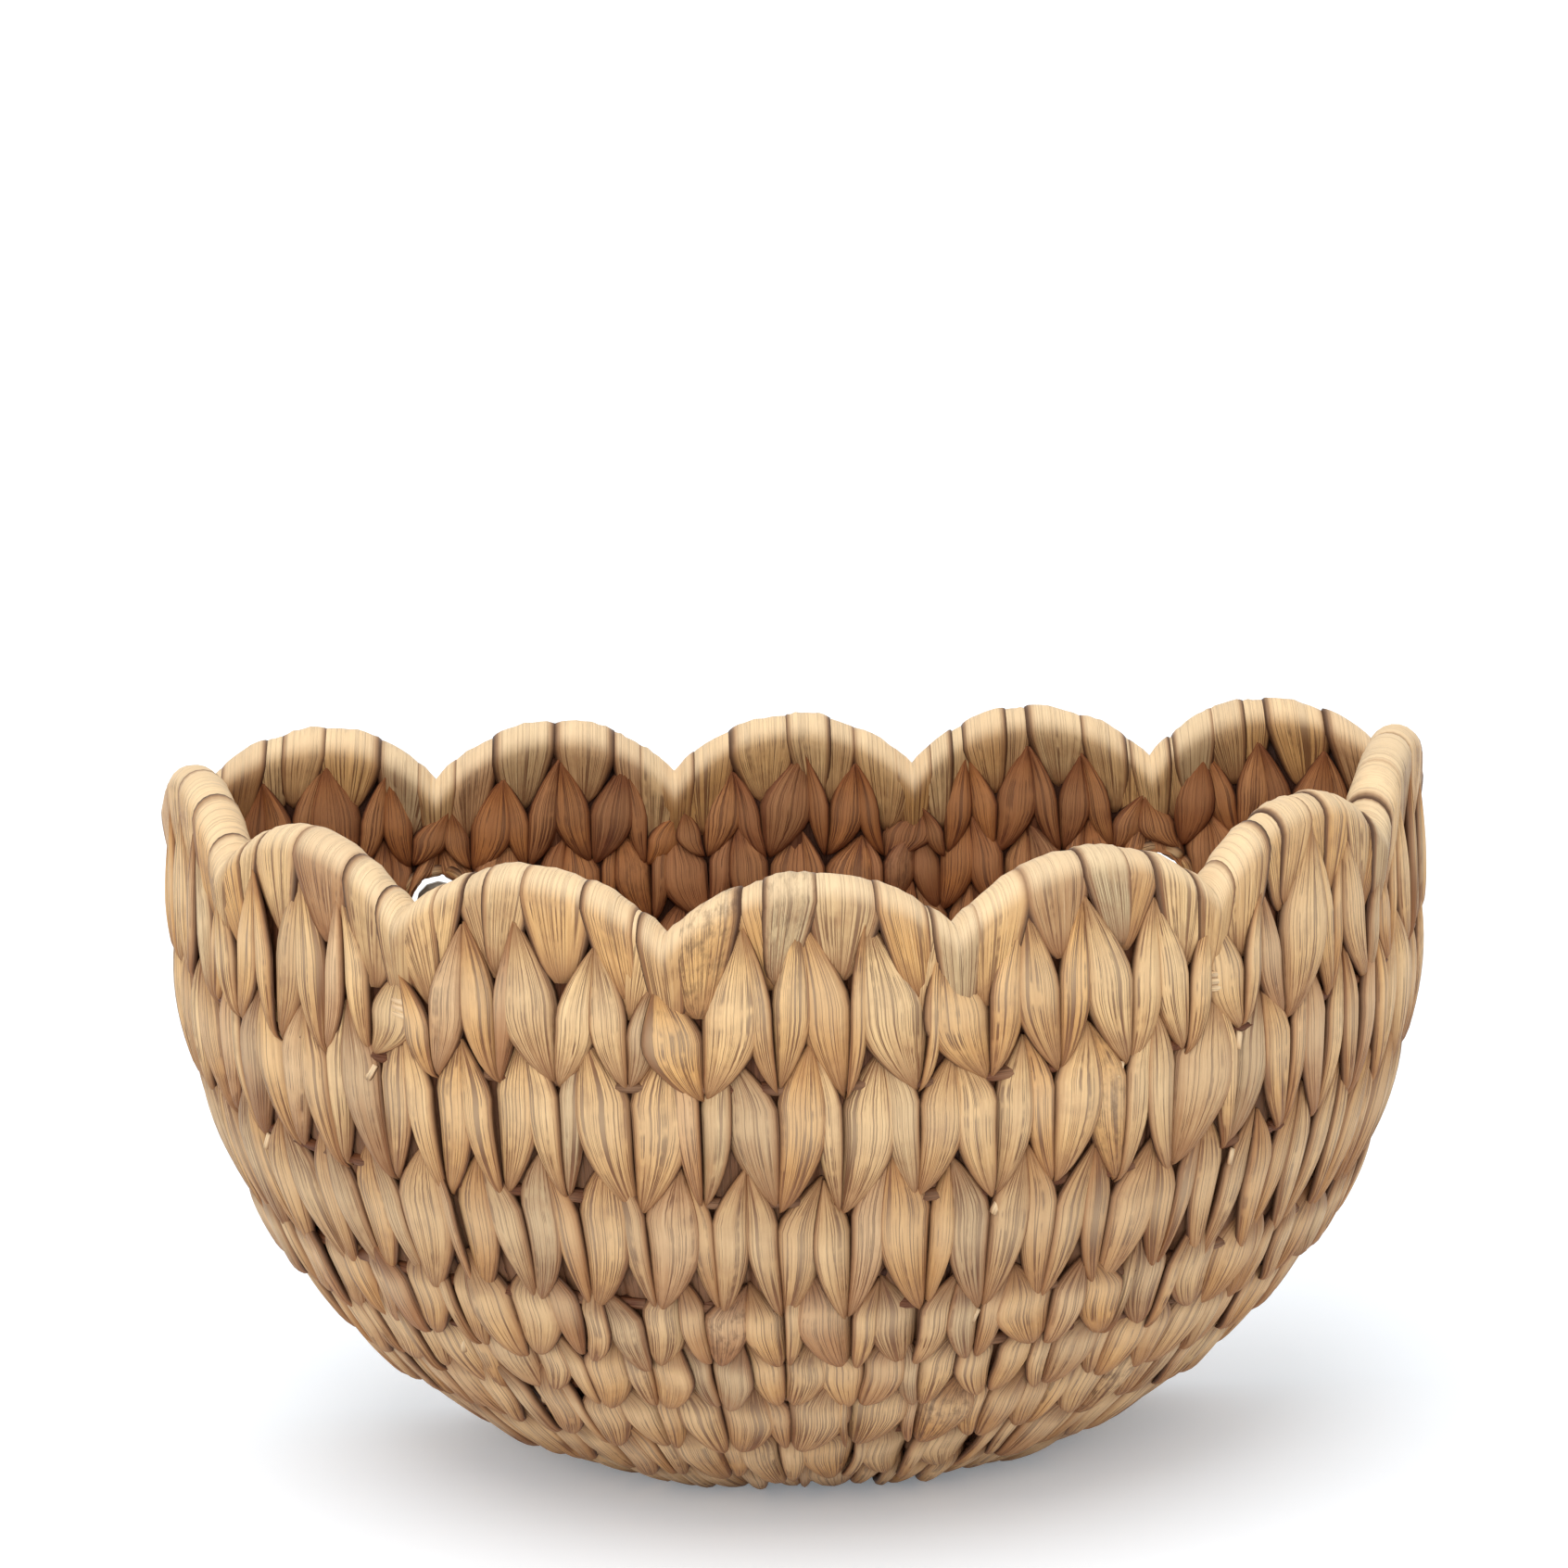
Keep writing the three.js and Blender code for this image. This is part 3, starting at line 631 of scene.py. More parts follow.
# Upright strands that the leaves are twined round, and the strips that cover the wires
STRAND_HALF_SHARE = 0.6
STRAND_LIFT = -1.4
STRAND_THICK = 2.6
# The strands are darkened as painted shade, where they show in the gaps
STRAND_DARK = 0.45
BASE_STRANDS = 14
WRAP_OFF_MIDDLE = 1.8
WIRE_BESIDE_OPENING = 2


def upright_strands(bodies, rng, surface, places, tops, half):
    """Strands down to the foot of a wall; half gives their half-width at a height, in mm."""
    n, rings = len(places), 30
    t = np.linspace(0, 1, rings)[None, :] ** 0.8
    height = tops[:, None] + (MID - tops[:, None]) * t
    centre, normal = surface(places[:, None] + 0 * height, height)
    width = half(height) * rng.uniform(0.95, 1.12, (n, 1))
    lift = STRAND_LIFT + wander(rng, n, rings, 9, 0.35)
    sweep(bodies, rng, centre, normal, width, lift, STRAND_THICK, random_tones(rng, n, STRAND_DARK))


def upright_panel_inside(x, z):
    """The inner side of the back panel, with places given in mm along x."""
    return flat_panel(1.0, x, z, -1)


def rib_covers(bodies, rng, surface, places, tops):
    """Flat strips over the ribs, on the inside of the walls."""
    places, tops = np.asarray(places, float)[:, None], np.asarray(tops, float)[:, None]
    n, rings = len(places), 24
    height = MID + (tops - MID) * np.linspace(0, 1, rings)[None, ::-1]
    centre, normal = surface(places + 0 * height, height)
    half = rng.uniform(2.5, 3.0, (n, 1)) + wander(rng, n, rings, 6, 0.2)
    sweep(bodies, rng, centre, normal, half, 0.5, 2.9, random_tones(rng, n, 0.2))


def hoop_wraps(bodies, rng, surface, low, high, height, count):
    """Short strips that run along a hoop and cover its wire between the leaves."""
    starts = low + (high - low) * np.arange(count)[:, None] / count
    t = np.linspace(-0.04, 1.04, 9)[None, :]
    place = starts + (high - low) / count * t
    level = height + wander(rng, count, 9, 3, 0.35)
    _, normal = surface(place, level)
    centre, normal = surface(place, level - WRAP_OFF_MIDDLE * normal[..., 2])
    lift = 0.4 - 0.3 * (2 * t - 1) ** 6 + rng.uniform(-0.1, 0.1, (count, 1))
    half = rng.uniform(1.9, 2.3, (count, 1))
    sweep(bodies, rng, centre, normal, half, lift, 2.8, random_tones(rng, count, 0.3), ribs=0.15)


def top_hoop_wraps(bodies, rng):
    """Wraps of the back panel's top hoop, which leave its wire bare in both openings."""
    reach = wall_radius(HOOPS[-1]) - CORNER_ARC
    near = (EYES["right"].x - OPENING_HALF_WIDTH - WIRE_BESIDE_OPENING) / reach
    far = (EYES["right"].x + OPENING_HALF_WIDTH + WIRE_BESIDE_OPENING) / reach
    for low, high, count in ((-1, -far, 2), (-near, near, 8), (far, 1, 2)):
        hoop_wraps(bodies, rng, back_panel, low, high, HOOPS[-1], count)


def strip_run(bodies, rng, path, count, half, lift, thick):
    """A run of short strips, each a little over the next, along a path that gives points and normals."""
    t = np.linspace(-0.12, 1.12, 11)[None, :]
    centre, normal = path(np.arange(count)[:, None] / count + 1 / count * t)
    end = np.abs(2 * t - 1) ** 5
    width = half * (1 - 0.5 * end) * rng.uniform(0.9, 1.1, (count, 1))
    sweep(bodies, rng, centre, normal, width, lift - 0.9 * end, thick, random_tones(rng, count, 0.15))


def corner_seam(side):
    """The inner corner where the front wall meets the back panel, from the foot up to the rim."""

    def path(share):
        z = MID + (VALLEY_WIRE - MID) * np.clip(share, 0, 1) ** 1.6
        point = np.stack([side * (wall_radius(z, WALL) + 1.5), 0 * z + FRONT_START + 1.5, z], -1)
        return point, unit(np.array([-side, -1.0, 0.15])) + 0 * point

    return path


def base_edge(facing):
    """The line between the base and the foot of the front wall."""

    def path(share):
        angle = np.clip(share, 0, 1) * pi
        radius = PLATE_EDGE + 4.0
        x, y = radius * np.cos(angle), FRONT_START - PLAN_RATIO * radius * np.sin(angle)
        point = np.stack([x, y, 0 * x + MID], -1)
        return point, [0.0, 0.0, facing] + 0 * point

    return path


def make_seams(material):
    """Strips that close the inner corners and both sides of the base's edge."""
    rng = np.random.default_rng(SEED + 13)
    corners = Bodies()
    for side in (-1, 1):
        strip_run(corners, rng, corner_seam(side), count=13, half=4.6, lift=0.0, thick=3.2)
    base = Bodies()
    for facing, lift in ((1.0, 1.2), (-1.0, 0.8)):
        strip_run(base, rng, base_edge(facing), count=12, half=5.6, lift=lift, thick=3.4)
    return corners.build("corner_seam_leaves", material), base.build("base_edge_leaves", material)


def front_strands(rng, material):
    bodies = Bodies()
    places, _ = centres(2 * FULL_COLUMNS)
    half = lambda z: STRAND_HALF_SHARE * pi * wall_radius(z) / len(places)
    upright_strands(bodies, rng, front_wall, places, front_rim(places) - 1, half)
    for height in [BASE_RING, *HOOPS]:
        low, high = -CORNER_SHARE, 1 + CORNER_SHARE
        hoop_wraps(bodies, rng, front_wall, low, high, height, low_columns(height))
    ribs = np.arange(FRONT_SCALLOPS + 1) / FRONT_SCALLOPS
    rib_covers(bodies, rng, front_wall_inside, ribs, front_rim(ribs) - 2)
    return bodies.build("front_strands", material)


def back_strands(rng, material):
    bodies = Bodies()
    places, pitch = centres(2 * BACK_COLUMNS, -1.0, 1.0)
    half = lambda z: STRAND_HALF_SHARE * pitch * wall_radius(z)
    upright_strands(bodies, rng, back_panel, places, back_rim(places) - 1, half)
    for height in [BASE_RING, *HOOPS[:-1]]:
        hoop_wraps(bodies, rng, back_panel, -1, 1, height, low_columns(height) // 2)
    top_hoop_wraps(bodies, rng)
    for rib in (-1, 0, 1):
        x, top = rib * BACK_SCALLOP_WIDTH, RIM_TOP - RIM_RADIUS
        rib_covers(bodies, rng, upright_panel_inside, [x], [top])
    return bodies.build("back_strands", material, part_at_openings)


def base_strands(rng, material):
    bodies = Bodies()
    places, pitch = centres(BASE_STRANDS, -1.0, 1.0)
    t = np.linspace(0, 1, 12)[None, :]
    y = PANEL_MID + (BASE_FRONT + 2 - PANEL_MID) * t + 0 * places[:, None]
    centre, normal = base_plate(places[:, None] + 0 * y, y)
    half = STRAND_HALF_SHARE * pitch * np.abs(centre[:, :, 0]).max() + 0.5
    tone = random_tones(rng, BASE_STRANDS, STRAND_DARK)
    sweep(bodies, rng, centre, normal, half, STRAND_LIFT, STRAND_THICK, tone)
    return bodies.build("base_strands", material)


def make_strands(material):
    """What shows between the leaves of the front wall, the back panel and the base, darkened as painted
    shade in the gaps.
    """
    rng = np.random.default_rng(SEED + 7)
    return [make(rng, material) for make in (front_strands, back_strands, base_strands)]


CUT_ENDS = 22


def make_cut_ends(material):
    """Short ends that stand out under some of the stitches, where a new leaf was started."""
    rng = np.random.default_rng(SEED + 9)
    bodies = Bodies()
    columns = rng.choice(FULL_COLUMNS, CUT_ENDS)
    rows = rng.choice(HOOPS[2:], CUT_ENDS)
    t = np.linspace(0, 1, 6)[None, :]
    place = (columns[:, None] + 0.5 + rng.uniform(-0.12, 0.12, (CUT_ENDS, 1)) + 0.1 * t) / FULL_COLUMNS
    height = rows[:, None] + rng.uniform(-3.0, 0.5, (CUT_ENDS, 1)) - rng.uniform(2.5, 4.5, (CUT_ENDS, 1)) * t
    centre, normal = front_wall(place, height)
    half = rng.uniform(0.9, 1.4, (CUT_ENDS, 1))
    tone = random_tones(rng, CUT_ENDS)
    sweep(bodies, rng, centre, normal, half, 2.6 + 1.6 * t, 1.0, tone, ribs=0.1)
    return bodies.build("cut_leaf_ends", material)


# A rim: its places on the surface run from start over span, radius is how far its leaves lie from the
# middle of the rim wire, in mm, and bound names the valleys that are bound with a narrow strip
Rim = namedtuple("Rim", "name surface level scallops start span radius bound")
FRONT_RIM = Rim("front", front_wall, front_rim, FRONT_SCALLOPS, 0, 1, RIM_RADIUS - 0.7, (2, 5))
BACK_RIM = Rim("back", back_panel, back_rim, BACK_SCALLOPS, -1, 2, RIM_RADIUS - 1.4, (3,))

# Leaves folded over the rim wire. Each follows a profile up the outside, over the wire and down inside.
# centre, half and lean are shares of the surface. drop_out and drop_in are how far a fan hangs down on both
# sides, proud is how much thicker it is and tilt how much higher at one edge, in mm. narrow is the share of
# its width at its ends.
Fan = namedtuple("Fan", "centre half lean drop_out drop_in proud narrow tilt")

OUTSIDE_STEPS = 9
OVER_STEPS = 11
INSIDE_STEPS = 7
FAN_TUCK = 4.2
FAN_RIBS = 0.26
FAN_PATTERN_HALF_WIDTH = 9.0
FAN_DROP_OUT = 22.0
FAN_DROP_IN = 18.0
CROSSED_SHARE = 0.5
BINDING_TURNS = 3
BINDING_BELOW_WIRE = 17.0
BINDING_LIFT = 4.2


def rim_profile(radius, drop_out, drop_in):
    """Offsets outwards and upwards from the rim wire, their normals, and how far down each side they lie."""
    outside = np.linspace(1, 0, OUTSIDE_STEPS, endpoint=False)
    over = np.linspace(0, pi, OVER_STEPS)
    inside = np.linspace(0, 1, INSIDE_STEPS + 1)[1:]
    outward = [radius - FAN_TUCK * outside**1.2, radius * np.cos(over), -radius + FAN_TUCK * inside**1.2]
    rise = [-drop_out * outside, radius * np.sin(over), -drop_in * inside]
    normal_out = [np.ones(OUTSIDE_STEPS), np.cos(over), -np.ones(INSIDE_STEPS)]
    normal_z = [np.zeros(OUTSIDE_STEPS), np.sin(over), np.zeros(INSIDE_STEPS)]
    down = [outside, 0 * over, inside]
    return [np.concatenate(values) for values in (outward, rise, normal_out, normal_z, down)]


def add_fan(bodies, rng, rim, fan, tone):
    """Adds the body of one fan; share is 0 on top of the wire and 2 at the fan's ends."""
    across, height = FAN_RING
    k = len(across)
    outward, rise, normal_out, normal_z, down = rim_profile(rim.radius, fan.drop_out, fan.drop_in)
    m = len(outward)
    drift = fan.lean * np.where(np.arange(m) < OUTSIDE_STEPS, down, 0.4 * down)
    width = fan.half * (fan.narrow + (1 - fan.narrow) * (1 - down**1.3))
    width = width * np.sqrt(1 - 0.75 * np.clip((down - 0.75) / 0.25, 0, 1) ** 2)
    place = fan.centre + drift[:, None] + width[:, None] * across
    own, shared = rim.level(place), rim.level(np.full_like(place, fan.centre))
    level = own + (shared - own) * np.clip(down, 0, 1)[:, None] ** 2
    point, normal = rim.surface(place, level + rise[:, None])
    rib = FAN_RIBS * creases(rng, 1, m, k)[0] * np.clip(height, 0, 1)
    thick = (1.0 + fan.proud) * height + rib + fan.tilt * across
    offset = outward[:, None] + normal_out[:, None] * thick
    points = point + normal * offset[..., None]
    points[..., 2] += normal_z[:, None] * thick
    along = np.concatenate([[0], np.cumsum(np.hypot(np.diff(outward), np.diff(rise)))])
    shift = rng.uniform(0, PATTERN_SPREAD, 2)
    across_mm = across * FAN_PATTERN_HALF_WIDTH + shift[0]
    along_mm = along[:, None] + shift[1]
    share = 1 - np.clip(rise[:, None] / rim.radius, 0, 1) * np.ones(k) + down[:, None]
    # edge falls to 0 at the fan's sides, where the material paints shade in the seams
    edge = np.where(height < 0, 0, np.clip(2.3 * (1 - np.abs(across)), 0, 1))
    bodies.add(points[None, ::-1], across_mm, along_mm[::-1], share[::-1][None], edge, tone[None])


def crossed_fans(rng, centre, pitch, drops):
    """Two leaves that cross, one of them over the other."""
    upper = rng.choice([-1, 1])
    fans = []
    for side in (-1, 1):
        proud = 0.9 if side == upper else rng.uniform(0.0, 0.2)
        half = (0.4 if side == upper else 0.34) * pitch
        place, lean = centre + side * 0.24 * pitch, -side * 0.2 * pitch
        fans.append(Fan(place, half, lean, *drops, proud, 0.45, 0.3 * side * upper))
    return fans


def scallop_fans(rng, first, pitch):
    """The fans of one scallop: one leaf at each V centre, or two that cross."""
    fans = []
    for column in range(COLUMNS_PER_SCALLOP):
        centre = first + (column + 0.5) * pitch + rng.uniform(-0.05, 0.05) * pitch
        drops = FAN_DROP_OUT + rng.uniform(-1.5, 1.5), FAN_DROP_IN + rng.uniform(-2, 2)
        if rng.uniform() < CROSSED_SHARE:
            fans += crossed_fans(rng, centre, pitch, drops)
        else:
            lean = rng.uniform(-0.1, 0.1) * pitch
            half = rng.uniform(0.53, 0.62) * pitch
            tilt = rng.choice([-1, 1]) * rng.uniform(0.3, 0.7)
            fans.append(Fan(centre, half, lean, *drops, rng.uniform(0.2, 1.0), 0.36, tilt))
    return fans


def make_rim(material):
    rng = np.random.default_rng(SEED + 21)
    pieces = []
    for rim in (FRONT_RIM, BACK_RIM):
        pitch = rim.span / (rim.scallops * COLUMNS_PER_SCALLOP)
        for scallop in range(rim.scallops):
            bodies = Bodies()
            fans = scallop_fans(rng, rim.start + rim.span * scallop / rim.scallops, pitch)
            for fan, tone in zip(fans, random_tones(rng, len(fans))):
                add_fan(bodies, rng, rim, fan, tone)
            piece = bodies.build(f"{rim.name}_rim_leaves_{scallop + 1}", material)
            pieces.append((piece, f"{rim.name}_rim_band_{scallop + 1}"))
    return pieces


def add_binding(bodies, rng, surface, place, pitch):
    """Turns of a narrow strip, bound across the foot of a fan."""
    t = np.linspace(-1, 1, 13)[None, :]
    level = VALLEY_WIRE - BINDING_BELOW_WIRE - 1.9 * np.arange(BINDING_TURNS)[:, None] + 0.5 * t
    centre, normal = surface(place + 0.23 * pitch * t + 0 * level, level)
    tone = random_tones(rng, BINDING_TURNS, 0.25)
    sweep(bodies, rng, centre, normal, 1.1, BINDING_LIFT - 2.2 * t**4, 0.9, tone, ribs=0.1)


def valley_piece(name, material, rng, rim, valley):
    """The leaf over one valley of a rim, bound across its foot in some of them."""
    bodies = Bodies()
    place = rim.start + rim.span * valley / rim.scallops
    pitch = rim.span / (rim.scallops * COLUMNS_PER_SCALLOP)
    fan = Fan(place, 0.37 * pitch, rng.uniform(-0.1, 0.1) * pitch, 18.0, 14.0, 1.4, 0.5, 0.2)
    tone = random_tones(rng, 1)
    tone[:, 1] = rng.uniform(0.0, 0.45)
    add_fan(bodies, rng, rim, fan, tone[0])
    if valley in rim.bound:
        add_binding(bodies, rng, rim.surface, place, pitch)
    return bodies.build(name, material)


def make_valleys(material):
    """The leaves over the valleys of both rims and over both corners."""
    rng = np.random.default_rng(SEED + 33)
    pieces = []
    for rim in (FRONT_RIM, BACK_RIM):
        for valley in range(1, rim.scallops):
            piece = valley_piece(f"{rim.name}_valley_leaf_{valley}", material, rng, rim, valley)
            pieces.append((piece, f"{rim.name}_valley_strap_{valley}"))
    for side, place in CORNERS.items():
        bodies = Bodies()
        fan = Fan(place, 0.55 * CORNER_SHARE, 0.0, 20.0, 15.0, 0.8, 0.4, 0.0)
        add_fan(bodies, rng, FRONT_RIM, fan, random_tones(rng, 1)[0])
        pieces.append((bodies.build(f"corner_leaf_{side}", material), f"corner_strap_{side}"))
    return pieces


# Materials
def linear(red, green, blue):
    """An sRGB colour, written 0 to 255, as linear values."""
    values = [value / 255 for value in (red, green, blue)]
    return tuple(v / 12.92 if v <= 0.04045 else ((v + 0.055) / 1.055) ** 2.4 for v in values) + (1.0,)


STRAW = linear(236, 199, 144)
GOLDEN = linear(228, 176, 108)
GREY_GREEN = linear(190, 170, 134)
PINK_BROWN = linear(194, 148, 114)
BROWN = linear(150, 100, 62)
CREASE_BROWN = linear(104, 64, 40)
DARK_BROWN = linear(70, 42, 26)
CREAM = linear(246, 218, 176)
# Multiplied into the leaves inside the basket: painted shade with painted orange bounce light
INSIDE_SHADE_AND_BOUNCE = linear(190, 126, 70)


class Nodes:
    """Short names for building the node tree of a material or a world."""

    def __init__(self, owner):
        owner.use_nodes = True
        self.owner = owner
        self.tree = owner.node_tree
        self.tree.nodes.clear()

    def add(self, kind, inputs=None, **settings):
        node = self.tree.nodes.new(kind)
        for key, value in settings.items():
            setattr(node, key, value)
        for key, value in (inputs or {}).items():
            self.feed(node.inputs[key], value)
        return node

    def feed(self, socket, value):
        if isinstance(value, bpy.types.NodeSocket):
            self.tree.links.new(value, socket)
        else:
            socket.default_value = value

    def math(self, operation, a, b=0.0):
        return self.add("ShaderNodeMath", {0: a, 1: b}, operation=operation).outputs[0]

    def steps(self, value, low, high, start=0.0, end=1.0):
        """Goes smoothly from start, where value is at low, to end, where it is at high."""
        inputs = {"Value": value, "From Min": low, "From Max": high, "To Min": start, "To Max": end}
        return self.add("ShaderNodeMapRange", inputs, interpolation_type="SMOOTHSTEP").outputs[0]

    def mix(self, factor, a, b, blend="MIX"):
        node = self.add("ShaderNodeMix", data_type="RGBA", blend_type=blend)
        self.feed(node.inputs[0], factor)
        self.feed(node.inputs[6], a)
        self.feed(node.inputs[7], b)
        return node.outputs[2]

    def tint(self, colour, other, value, none, full, most):
        """Mixes other into colour: nothing where value is at none, and most of it where value is at full."""
        return self.mix(self.steps(value, none, full, 0.0, most), colour, other)

    def noise(self, vector, scale, detail, roughness=0.55):
        inputs = {"Vector": vector, "Scale": scale, "Detail": detail, "Roughness": roughness}
        return self.add("ShaderNodeTexNoise", inputs).outputs["Fac"]

    def vector(self, x, y):
        return self.add("ShaderNodeCombineXYZ", {0: x, 1: y}).outputs[0]

    def fibre(self, across, along, pace, scale, detail, roughness):
        """Noise that is drawn out along a leaf, where it changes at pace times the speed."""
        drawn_out = self.vector(across, self.math("MULTIPLY", along, pace))
        return self.noise(drawn_out, scale, detail, roughness)

    def creases(self, across, along, spacing, width):
        """Thin lines along a leaf, which drift slowly to the sides."""
        drift = self.fibre(across, along, 0.008, spacing, 1.0, 0.4)
        off = self.math("ABSOLUTE", self.math("SUBTRACT", drift, 0.5))
        return self.steps(off, 0.3 * width, width, 1.0, 0.0)

    def attribute(self, name):
        return self.add("ShaderNodeAttribute", attribute_name=name).outputs

    def position(self):
        return self.add("ShaderNodeTexCoord").outputs["Object"]

    def bump(self, strength, distance, height):
        inputs = {"Strength": strength, "Distance": distance, "Height": height}
        return self.add("ShaderNodeBump", inputs).outputs[0]

    def seen(self):
        """1 where the camera or a reflection sees it, otherwise 0."""
        rays = self.add("ShaderNodeLightPath").outputs
        return self.math("MAXIMUM", rays["Is Camera Ray"], rays["Is Glossy Ray"])

    def finish(self, shader, inputs, output="ShaderNodeOutputMaterial"):
        self.add(output, {"Surface": self.add(shader, inputs).outputs[0]})
        return self.owner


Leaf = namedtuple("Leaf", "across along share tone mottled edge fine broad crease")


def leaf_values(n):
    """What a body's points say of their leaf, and the fibre and creases that are made from it."""
    across, along, share = n.add("ShaderNodeSeparateXYZ", {0: n.attribute("place")["Vector"]}).outputs
    whole_tone = n.attribute("tone")
    tone = n.add("ShaderNodeSeparateColor", {0: whole_tone["Color"]}).outputs
    edge = n.attribute("edge")["Fac"]
    fine = n.fibre(across, along, 0.035, 1.7, 5.0, 0.6)
    broad = n.fibre(across, along, 0.05, 0.42, 3.0, 0.5)
    fades = n.steps(n.noise(n.vector(across, along), 0.13, 2.0), 0.36, 0.56)
    faint = n.math("MULTIPLY", n.creases(across, along, 0.95, 0.03), fades)
    crease = n.math("MAXIMUM", n.creases(across, along, 0.42, 0.024), faint)
    return Leaf(across, along, share, tone, whole_tone["Alpha"], edge, fine, broad, crease)


def leaf_colour(n, leaf, pale, warm):
    """A tone for each leaf, with blotches and fibre."""
    colour = n.mix(leaf.tone[0], pale, warm)
    colour = n.tint(colour, GREY_GREEN, leaf.tone[1], 0.36, 0.0, 0.8)
    colour = n.tint(colour, PINK_BROWN, leaf.tone[1], 0.64, 1.0, 0.6)
    colour = n.tint(colour, BROWN, leaf.tone[2], 0.15, 1.0, 0.7)
    blotch = n.noise(n.vector(leaf.across, leaf.along), 0.11, 4.0, 0.6)
    colour = n.tint(colour, BROWN, blotch, 0.45, 0.75, 0.4)
    colour = n.tint(colour, BROWN, leaf.broad, 0.62, 0.35, 0.25)
    colour = n.tint(colour, BROWN, leaf.fine, 0.62, 0.3, 0.38)
    return n.tint(colour, CREAM, leaf.fine, 0.55, 0.8, 0.4)


def shade_rim_leaf(n, leaf, colour):
    """A painted highlight over the wire, and painted shade at both ends, where the fan dives under the
    leaves.
    """
    colour = n.tint(colour, CREAM, leaf.share, 1.3, 0.3, 0.72)
    return n.tint(colour, BROWN, leaf.share, 1.45, 2.0, 0.75)


def shade_stitch_leaf(n, leaf, colour, height):
    """A painted highlight along the middle, browner towards the foot, and painted shade on the head, tucked
    under the feet of the row above, deepest in the low rows.
    """
    off_middle = n.math("ABSOLUTE", n.math("SUBTRACT", leaf.share, 0.42))
    # Painted highlight along the middle of the leaf
    colour = n.tint(colour, CREAM, off_middle, 0.3, 0.0, 0.3)
    colour = n.tint(colour, BROWN, leaf.share, 0.62, 1.0, 0.8)
    # Painted shade on the head, under the feet of the row above
    colour = n.tint(colour, BROWN, leaf.share, 0.25, 0.0, 0.65)
    # More painted shade on the heads of the low rows, below about 125 mm
    tucked_shade = n.math("MULTIPLY", n.steps(height, 0.125, 0.09), n.steps(leaf.share, 0.44, 0.2, 0.0, 0.45))
    return n.mix(tucked_shade, colour, CREASE_BROWN)


def leaf_material(name, pale, warm, rim=False, shade=None, roughness=0.6):
    n = Nodes(bpy.data.materials.new(name))
    leaf = leaf_values(n)
    colour = leaf_colour(n, leaf, pale, warm)
    height = n.add("ShaderNodeSeparateXYZ", {0: n.position()}).outputs[2]
    # Browner towards the bottom, from 175 mm down to 85 mm
    colour = n.tint(colour, BROWN, height, 0.175, 0.085, 0.34)
    colour = n.mix(n.math("MULTIPLY", leaf.crease, 0.78 if rim else 0.9), colour, CREASE_BROWN)
    colour = shade_rim_leaf(n, leaf, colour) if rim else shade_stitch_leaf(n, leaf, colour, height)
    # Painted shade along the sides of each leaf and fan, in the seams between neighbours
    colour = n.tint(colour, BROWN, leaf.edge, 0.85, 0.35, 0.65)
    colour = n.tint(colour, DARK_BROWN, leaf.edge, 0.55, 0.1, 0.9)
    speck = n.steps(n.fibre(leaf.across, leaf.along, 0.4, 0.6, 5.0, 0.65), 0.45, 0.66)
    speck = n.math("MULTIPLY", speck, leaf.mottled)
    colour = n.mix(n.math("MULTIPLY", speck, 0.55), colour, DARK_BROWN)
    # shade is multiplied in as painted shade: inside the basket, and on the strands in the gaps
    if shade:
        colour = n.mix(0.7, colour, shade, "MULTIPLY")
    relief = n.math("SUBTRACT", leaf.fine, n.math("MULTIPLY", leaf.crease, 0.9))
    relief = n.math("ADD", relief, n.math("MULTIPLY", leaf.broad, 0.8))
    return n.finish("ShaderNodeBsdfPrincipled", {
        "Base Color": colour,
        "Roughness": n.steps(leaf.fine, 0.3, 0.7, roughness + 0.1, roughness - 0.08),
        "Normal": n.bump(0.55, 0.0006, relief),
        "Specular IOR Level": 0.32,
    })


def wire_material(name, pale, dull, metallic):
    n = Nodes(bpy.data.materials.new(name))
    grain = n.noise(n.position(), 900.0, 3.0)
    patch = n.noise(n.position(), 60.0, 3.0)
    return n.finish("ShaderNodeBsdfPrincipled", {
        "Base Color": n.tint(pale, dull, patch, 0.4, 0.7, 0.6),
        "Roughness": n.steps(grain, 0.3, 0.7, 0.34, 0.52),
        "Metallic": metallic,
        "Normal": n.bump(0.25, 0.0002, grain),
    })


# How much light the floor adds of its own where the camera or a reflection sees it
FLOOR_LIFT = 0.19


def floor_material():
    n = Nodes(bpy.data.materials.new("floor_finish"))
    grain = n.noise(n.position(), 40.0, 3.0)
    return n.finish("ShaderNodeBsdfPrincipled", {
        "Base Color": n.mix(grain, (0.87, 0.905, 0.94, 1), (0.89, 0.92, 0.955, 1)),
        "Roughness": 0.9,
        "Emission Color": (0.84, 0.92, 0.98, 1),
        "Emission Strength": n.math("MULTIPLY", n.seen(), FLOOR_LIFT),
    })


def ready(piece, node):
    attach(piece, "root")
    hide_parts(node)


OUTER_LEAF = leaf_material("outer_leaf", STRAW, GOLDEN)
INNER_LEAF = leaf_material("inner_leaf", STRAW, GOLDEN, shade=INSIDE_SHADE_AND_BOUNCE)
RIM_LEAF = leaf_material("rim_leaf", STRAW, GOLDEN, rim=True, roughness=0.55)
# Dark browns multiplied by brown: painted shade in the gaps between leaves
STRAND = leaf_material("strand", CREASE_BROWN, DARK_BROWN, shade=BROWN)
WIRE = wire_material("frame_wire_finish", linear(214, 208, 196), linear(176, 168, 152), 0.35)
# Brown wire for the hoops, ribs and base wires inside the weave
BROWN_HIDDEN_WIRE = wire_material("brown_hidden_wire_finish", linear(150, 112, 78), linear(104, 72, 48), 0.1)


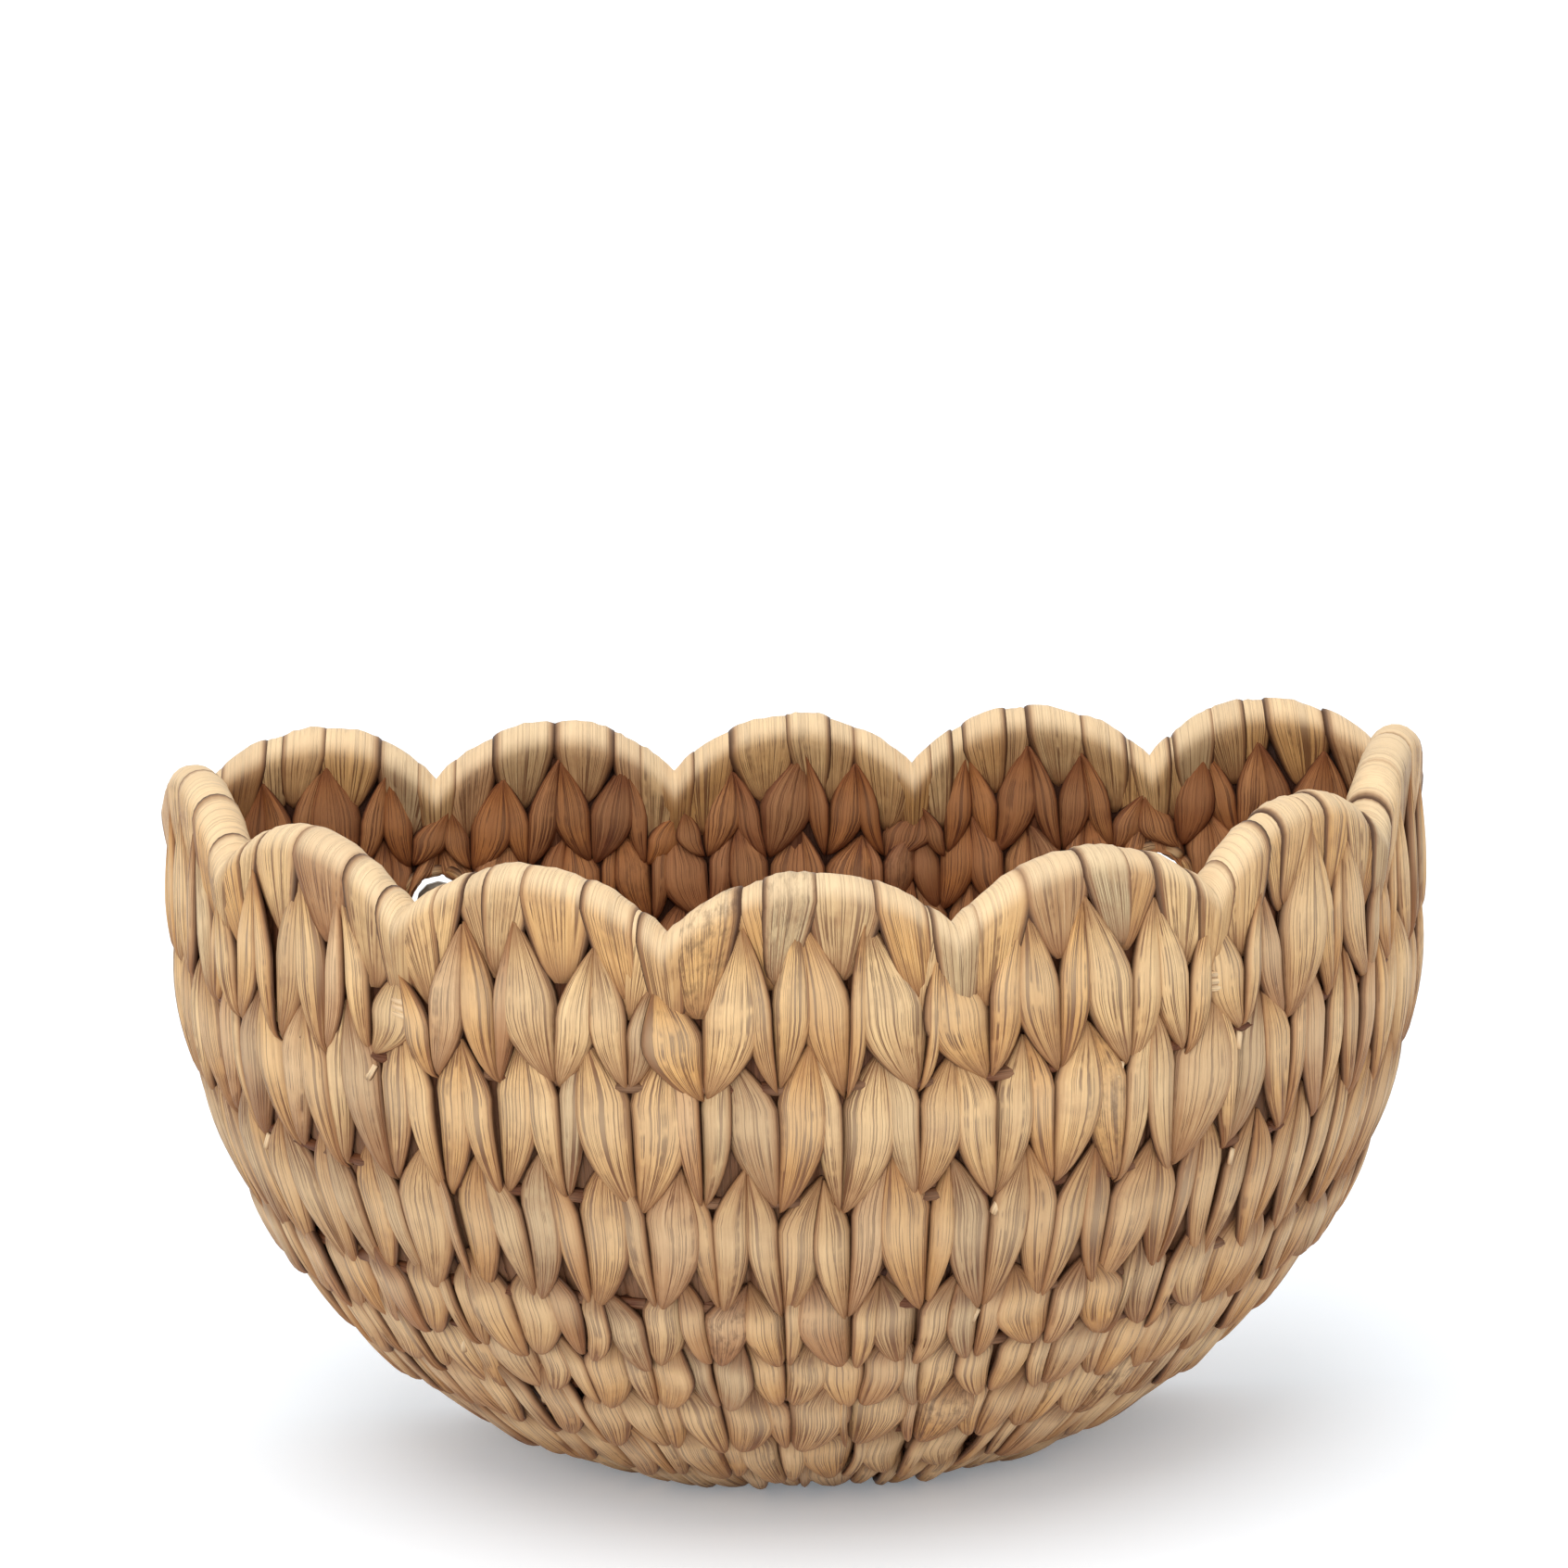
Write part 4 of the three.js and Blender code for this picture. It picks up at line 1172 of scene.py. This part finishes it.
def woven_pieces():
    """The pieces of the weave, each with the node that it takes the place of."""
    front, back, base = "front_weave", "back_weave", "base_weave"
    yield make_front_leaves(front_wall, "front_leaves", OUTER_LEAF, SEED, True), front
    yield make_cut_ends(RIM_LEAF), front
    yield make_front_leaves(front_wall_inside, "front_leaves_inside", INNER_LEAF, SEED + 1, False), front
    yield make_back_leaves(back_panel, "back_leaves", OUTER_LEAF, SEED + 2, BACK_DARK), back
    yield make_back_leaves(back_panel_inside, "back_leaves_inside", INNER_LEAF, SEED + 3, INSIDE_DARK), back
    yield make_base_leaves(base_plate, "base_leaves", INNER_LEAF, SEED + 4), base
    yield make_base_leaves(base_plate_under, "base_leaves_under", OUTER_LEAF, SEED + 5), base
    yield from zip(make_strands(STRAND), (front, back, base))
    yield from zip(make_seams(INNER_LEAF), (front, base))
    yield make_opening_edges(OUTER_LEAF), back


def finish_wires():
    """Pale wire where it shows, and brown wire inside the weave."""
    for node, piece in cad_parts.items():
        if any(word in node for word in ("wire", "rib", "ring", "eye")):
            seen = "rim" in node or "eye" in node or node == "hoop_wire_7"
            piece.data.materials.clear()
            piece.data.materials.append(WIRE if seen else BROWN_HIDDEN_WIRE)


for piece, node in woven_pieces():
    ready(piece, node)
for piece, node in make_rim(RIM_LEAF):
    ready(piece, node)
for piece, node in make_valleys(RIM_LEAF):
    ready(piece, node)
finish_wires()


# Camera: where it stands is measured from a point on the basket's axis
LOOK_AT = Vector((0, 0, 0.1))
CAMERA_DISTANCE = 2.5
CAMERA_ELEVATION = math.radians(18.02)
CAMERA_YAW = math.radians(1.15)
CAMERA_ROLL = math.radians(-1.56)
FRAME_PIXELS = 1692
FOCAL_PIXELS = 9658
LOOK_AT_PIXEL = (873.9, 1254.3)
SENSOR = 36.0


def turn(angle, axis):
    return Matrix.Rotation(angle, 4, axis)


def make_camera():
    """Aims at the point on the basket's axis, and turns aside until that lies at its pixel."""
    aim = turn(-CAMERA_YAW, "Z") @ turn(pi / 2 - CAMERA_ELEVATION, "X") @ turn(CAMERA_ROLL, "Z")
    place = LOOK_AT + aim @ Vector((0, 0, CAMERA_DISTANCE))
    aside, down = (math.atan((pixel - FRAME_PIXELS / 2) / FOCAL_PIXELS) for pixel in LOOK_AT_PIXEL)
    data = bpy.data.cameras.new("camera")
    data.sensor_width = SENSOR
    data.lens = FOCAL_PIXELS / FRAME_PIXELS * SENSOR
    data.clip_start, data.clip_end = 0.1, 50
    camera = new_object("camera", data)
    camera.matrix_world = Matrix.Translation(place) @ aim @ turn(down, "X") @ turn(aside, "Y")
    bpy.context.scene.camera = camera


WORLD_STRENGTH = 0.75


def soft_sun(name, source, strength, angle):
    """A wide, far lamp: source is where its light comes from, and angle its width in degrees."""
    data = bpy.data.lights.new(name, "SUN")
    data.energy = strength
    data.angle = math.radians(angle)
    new_object(name, data).rotation_euler = (-Vector(source)).to_track_quat("-Z", "Y").to_euler()


FLOOR_SIZE = 6.0


def make_floor():
    size = FLOOR_SIZE
    mesh = bpy.data.meshes.new("floor")
    corners = [(-size, -size, 0), (size, -size, 0), (size, size, 0), (-size, size, 0)]
    mesh.from_pydata(corners, [], [(0, 1, 2, 3)])
    mesh.materials.append(floor_material())
    floor = new_object("floor", mesh)


def make_world():
    """White where the camera or a reflection sees it, and less bright as a light."""
    world = bpy.data.worlds.new("studio")
    n = Nodes(world)
    strength = n.add("ShaderNodeMapRange", {"Value": n.seen(), "To Min": WORLD_STRENGTH}).outputs[0]
    background = {"Color": (1, 1, 1, 1), "Strength": strength}
    n.finish("ShaderNodeBackground", background, "ShaderNodeOutputWorld")
    bpy.context.scene.world = world


make_camera()
make_floor()
make_world()
soft_sun("top_light", (-0.12, -0.35, 1.0), 1.15, 45)
soft_sun("front_light", (-0.25, -1.0, 0.5), 0.8, 50)
bpy.context.scene.view_settings.view_transform = "Standard"
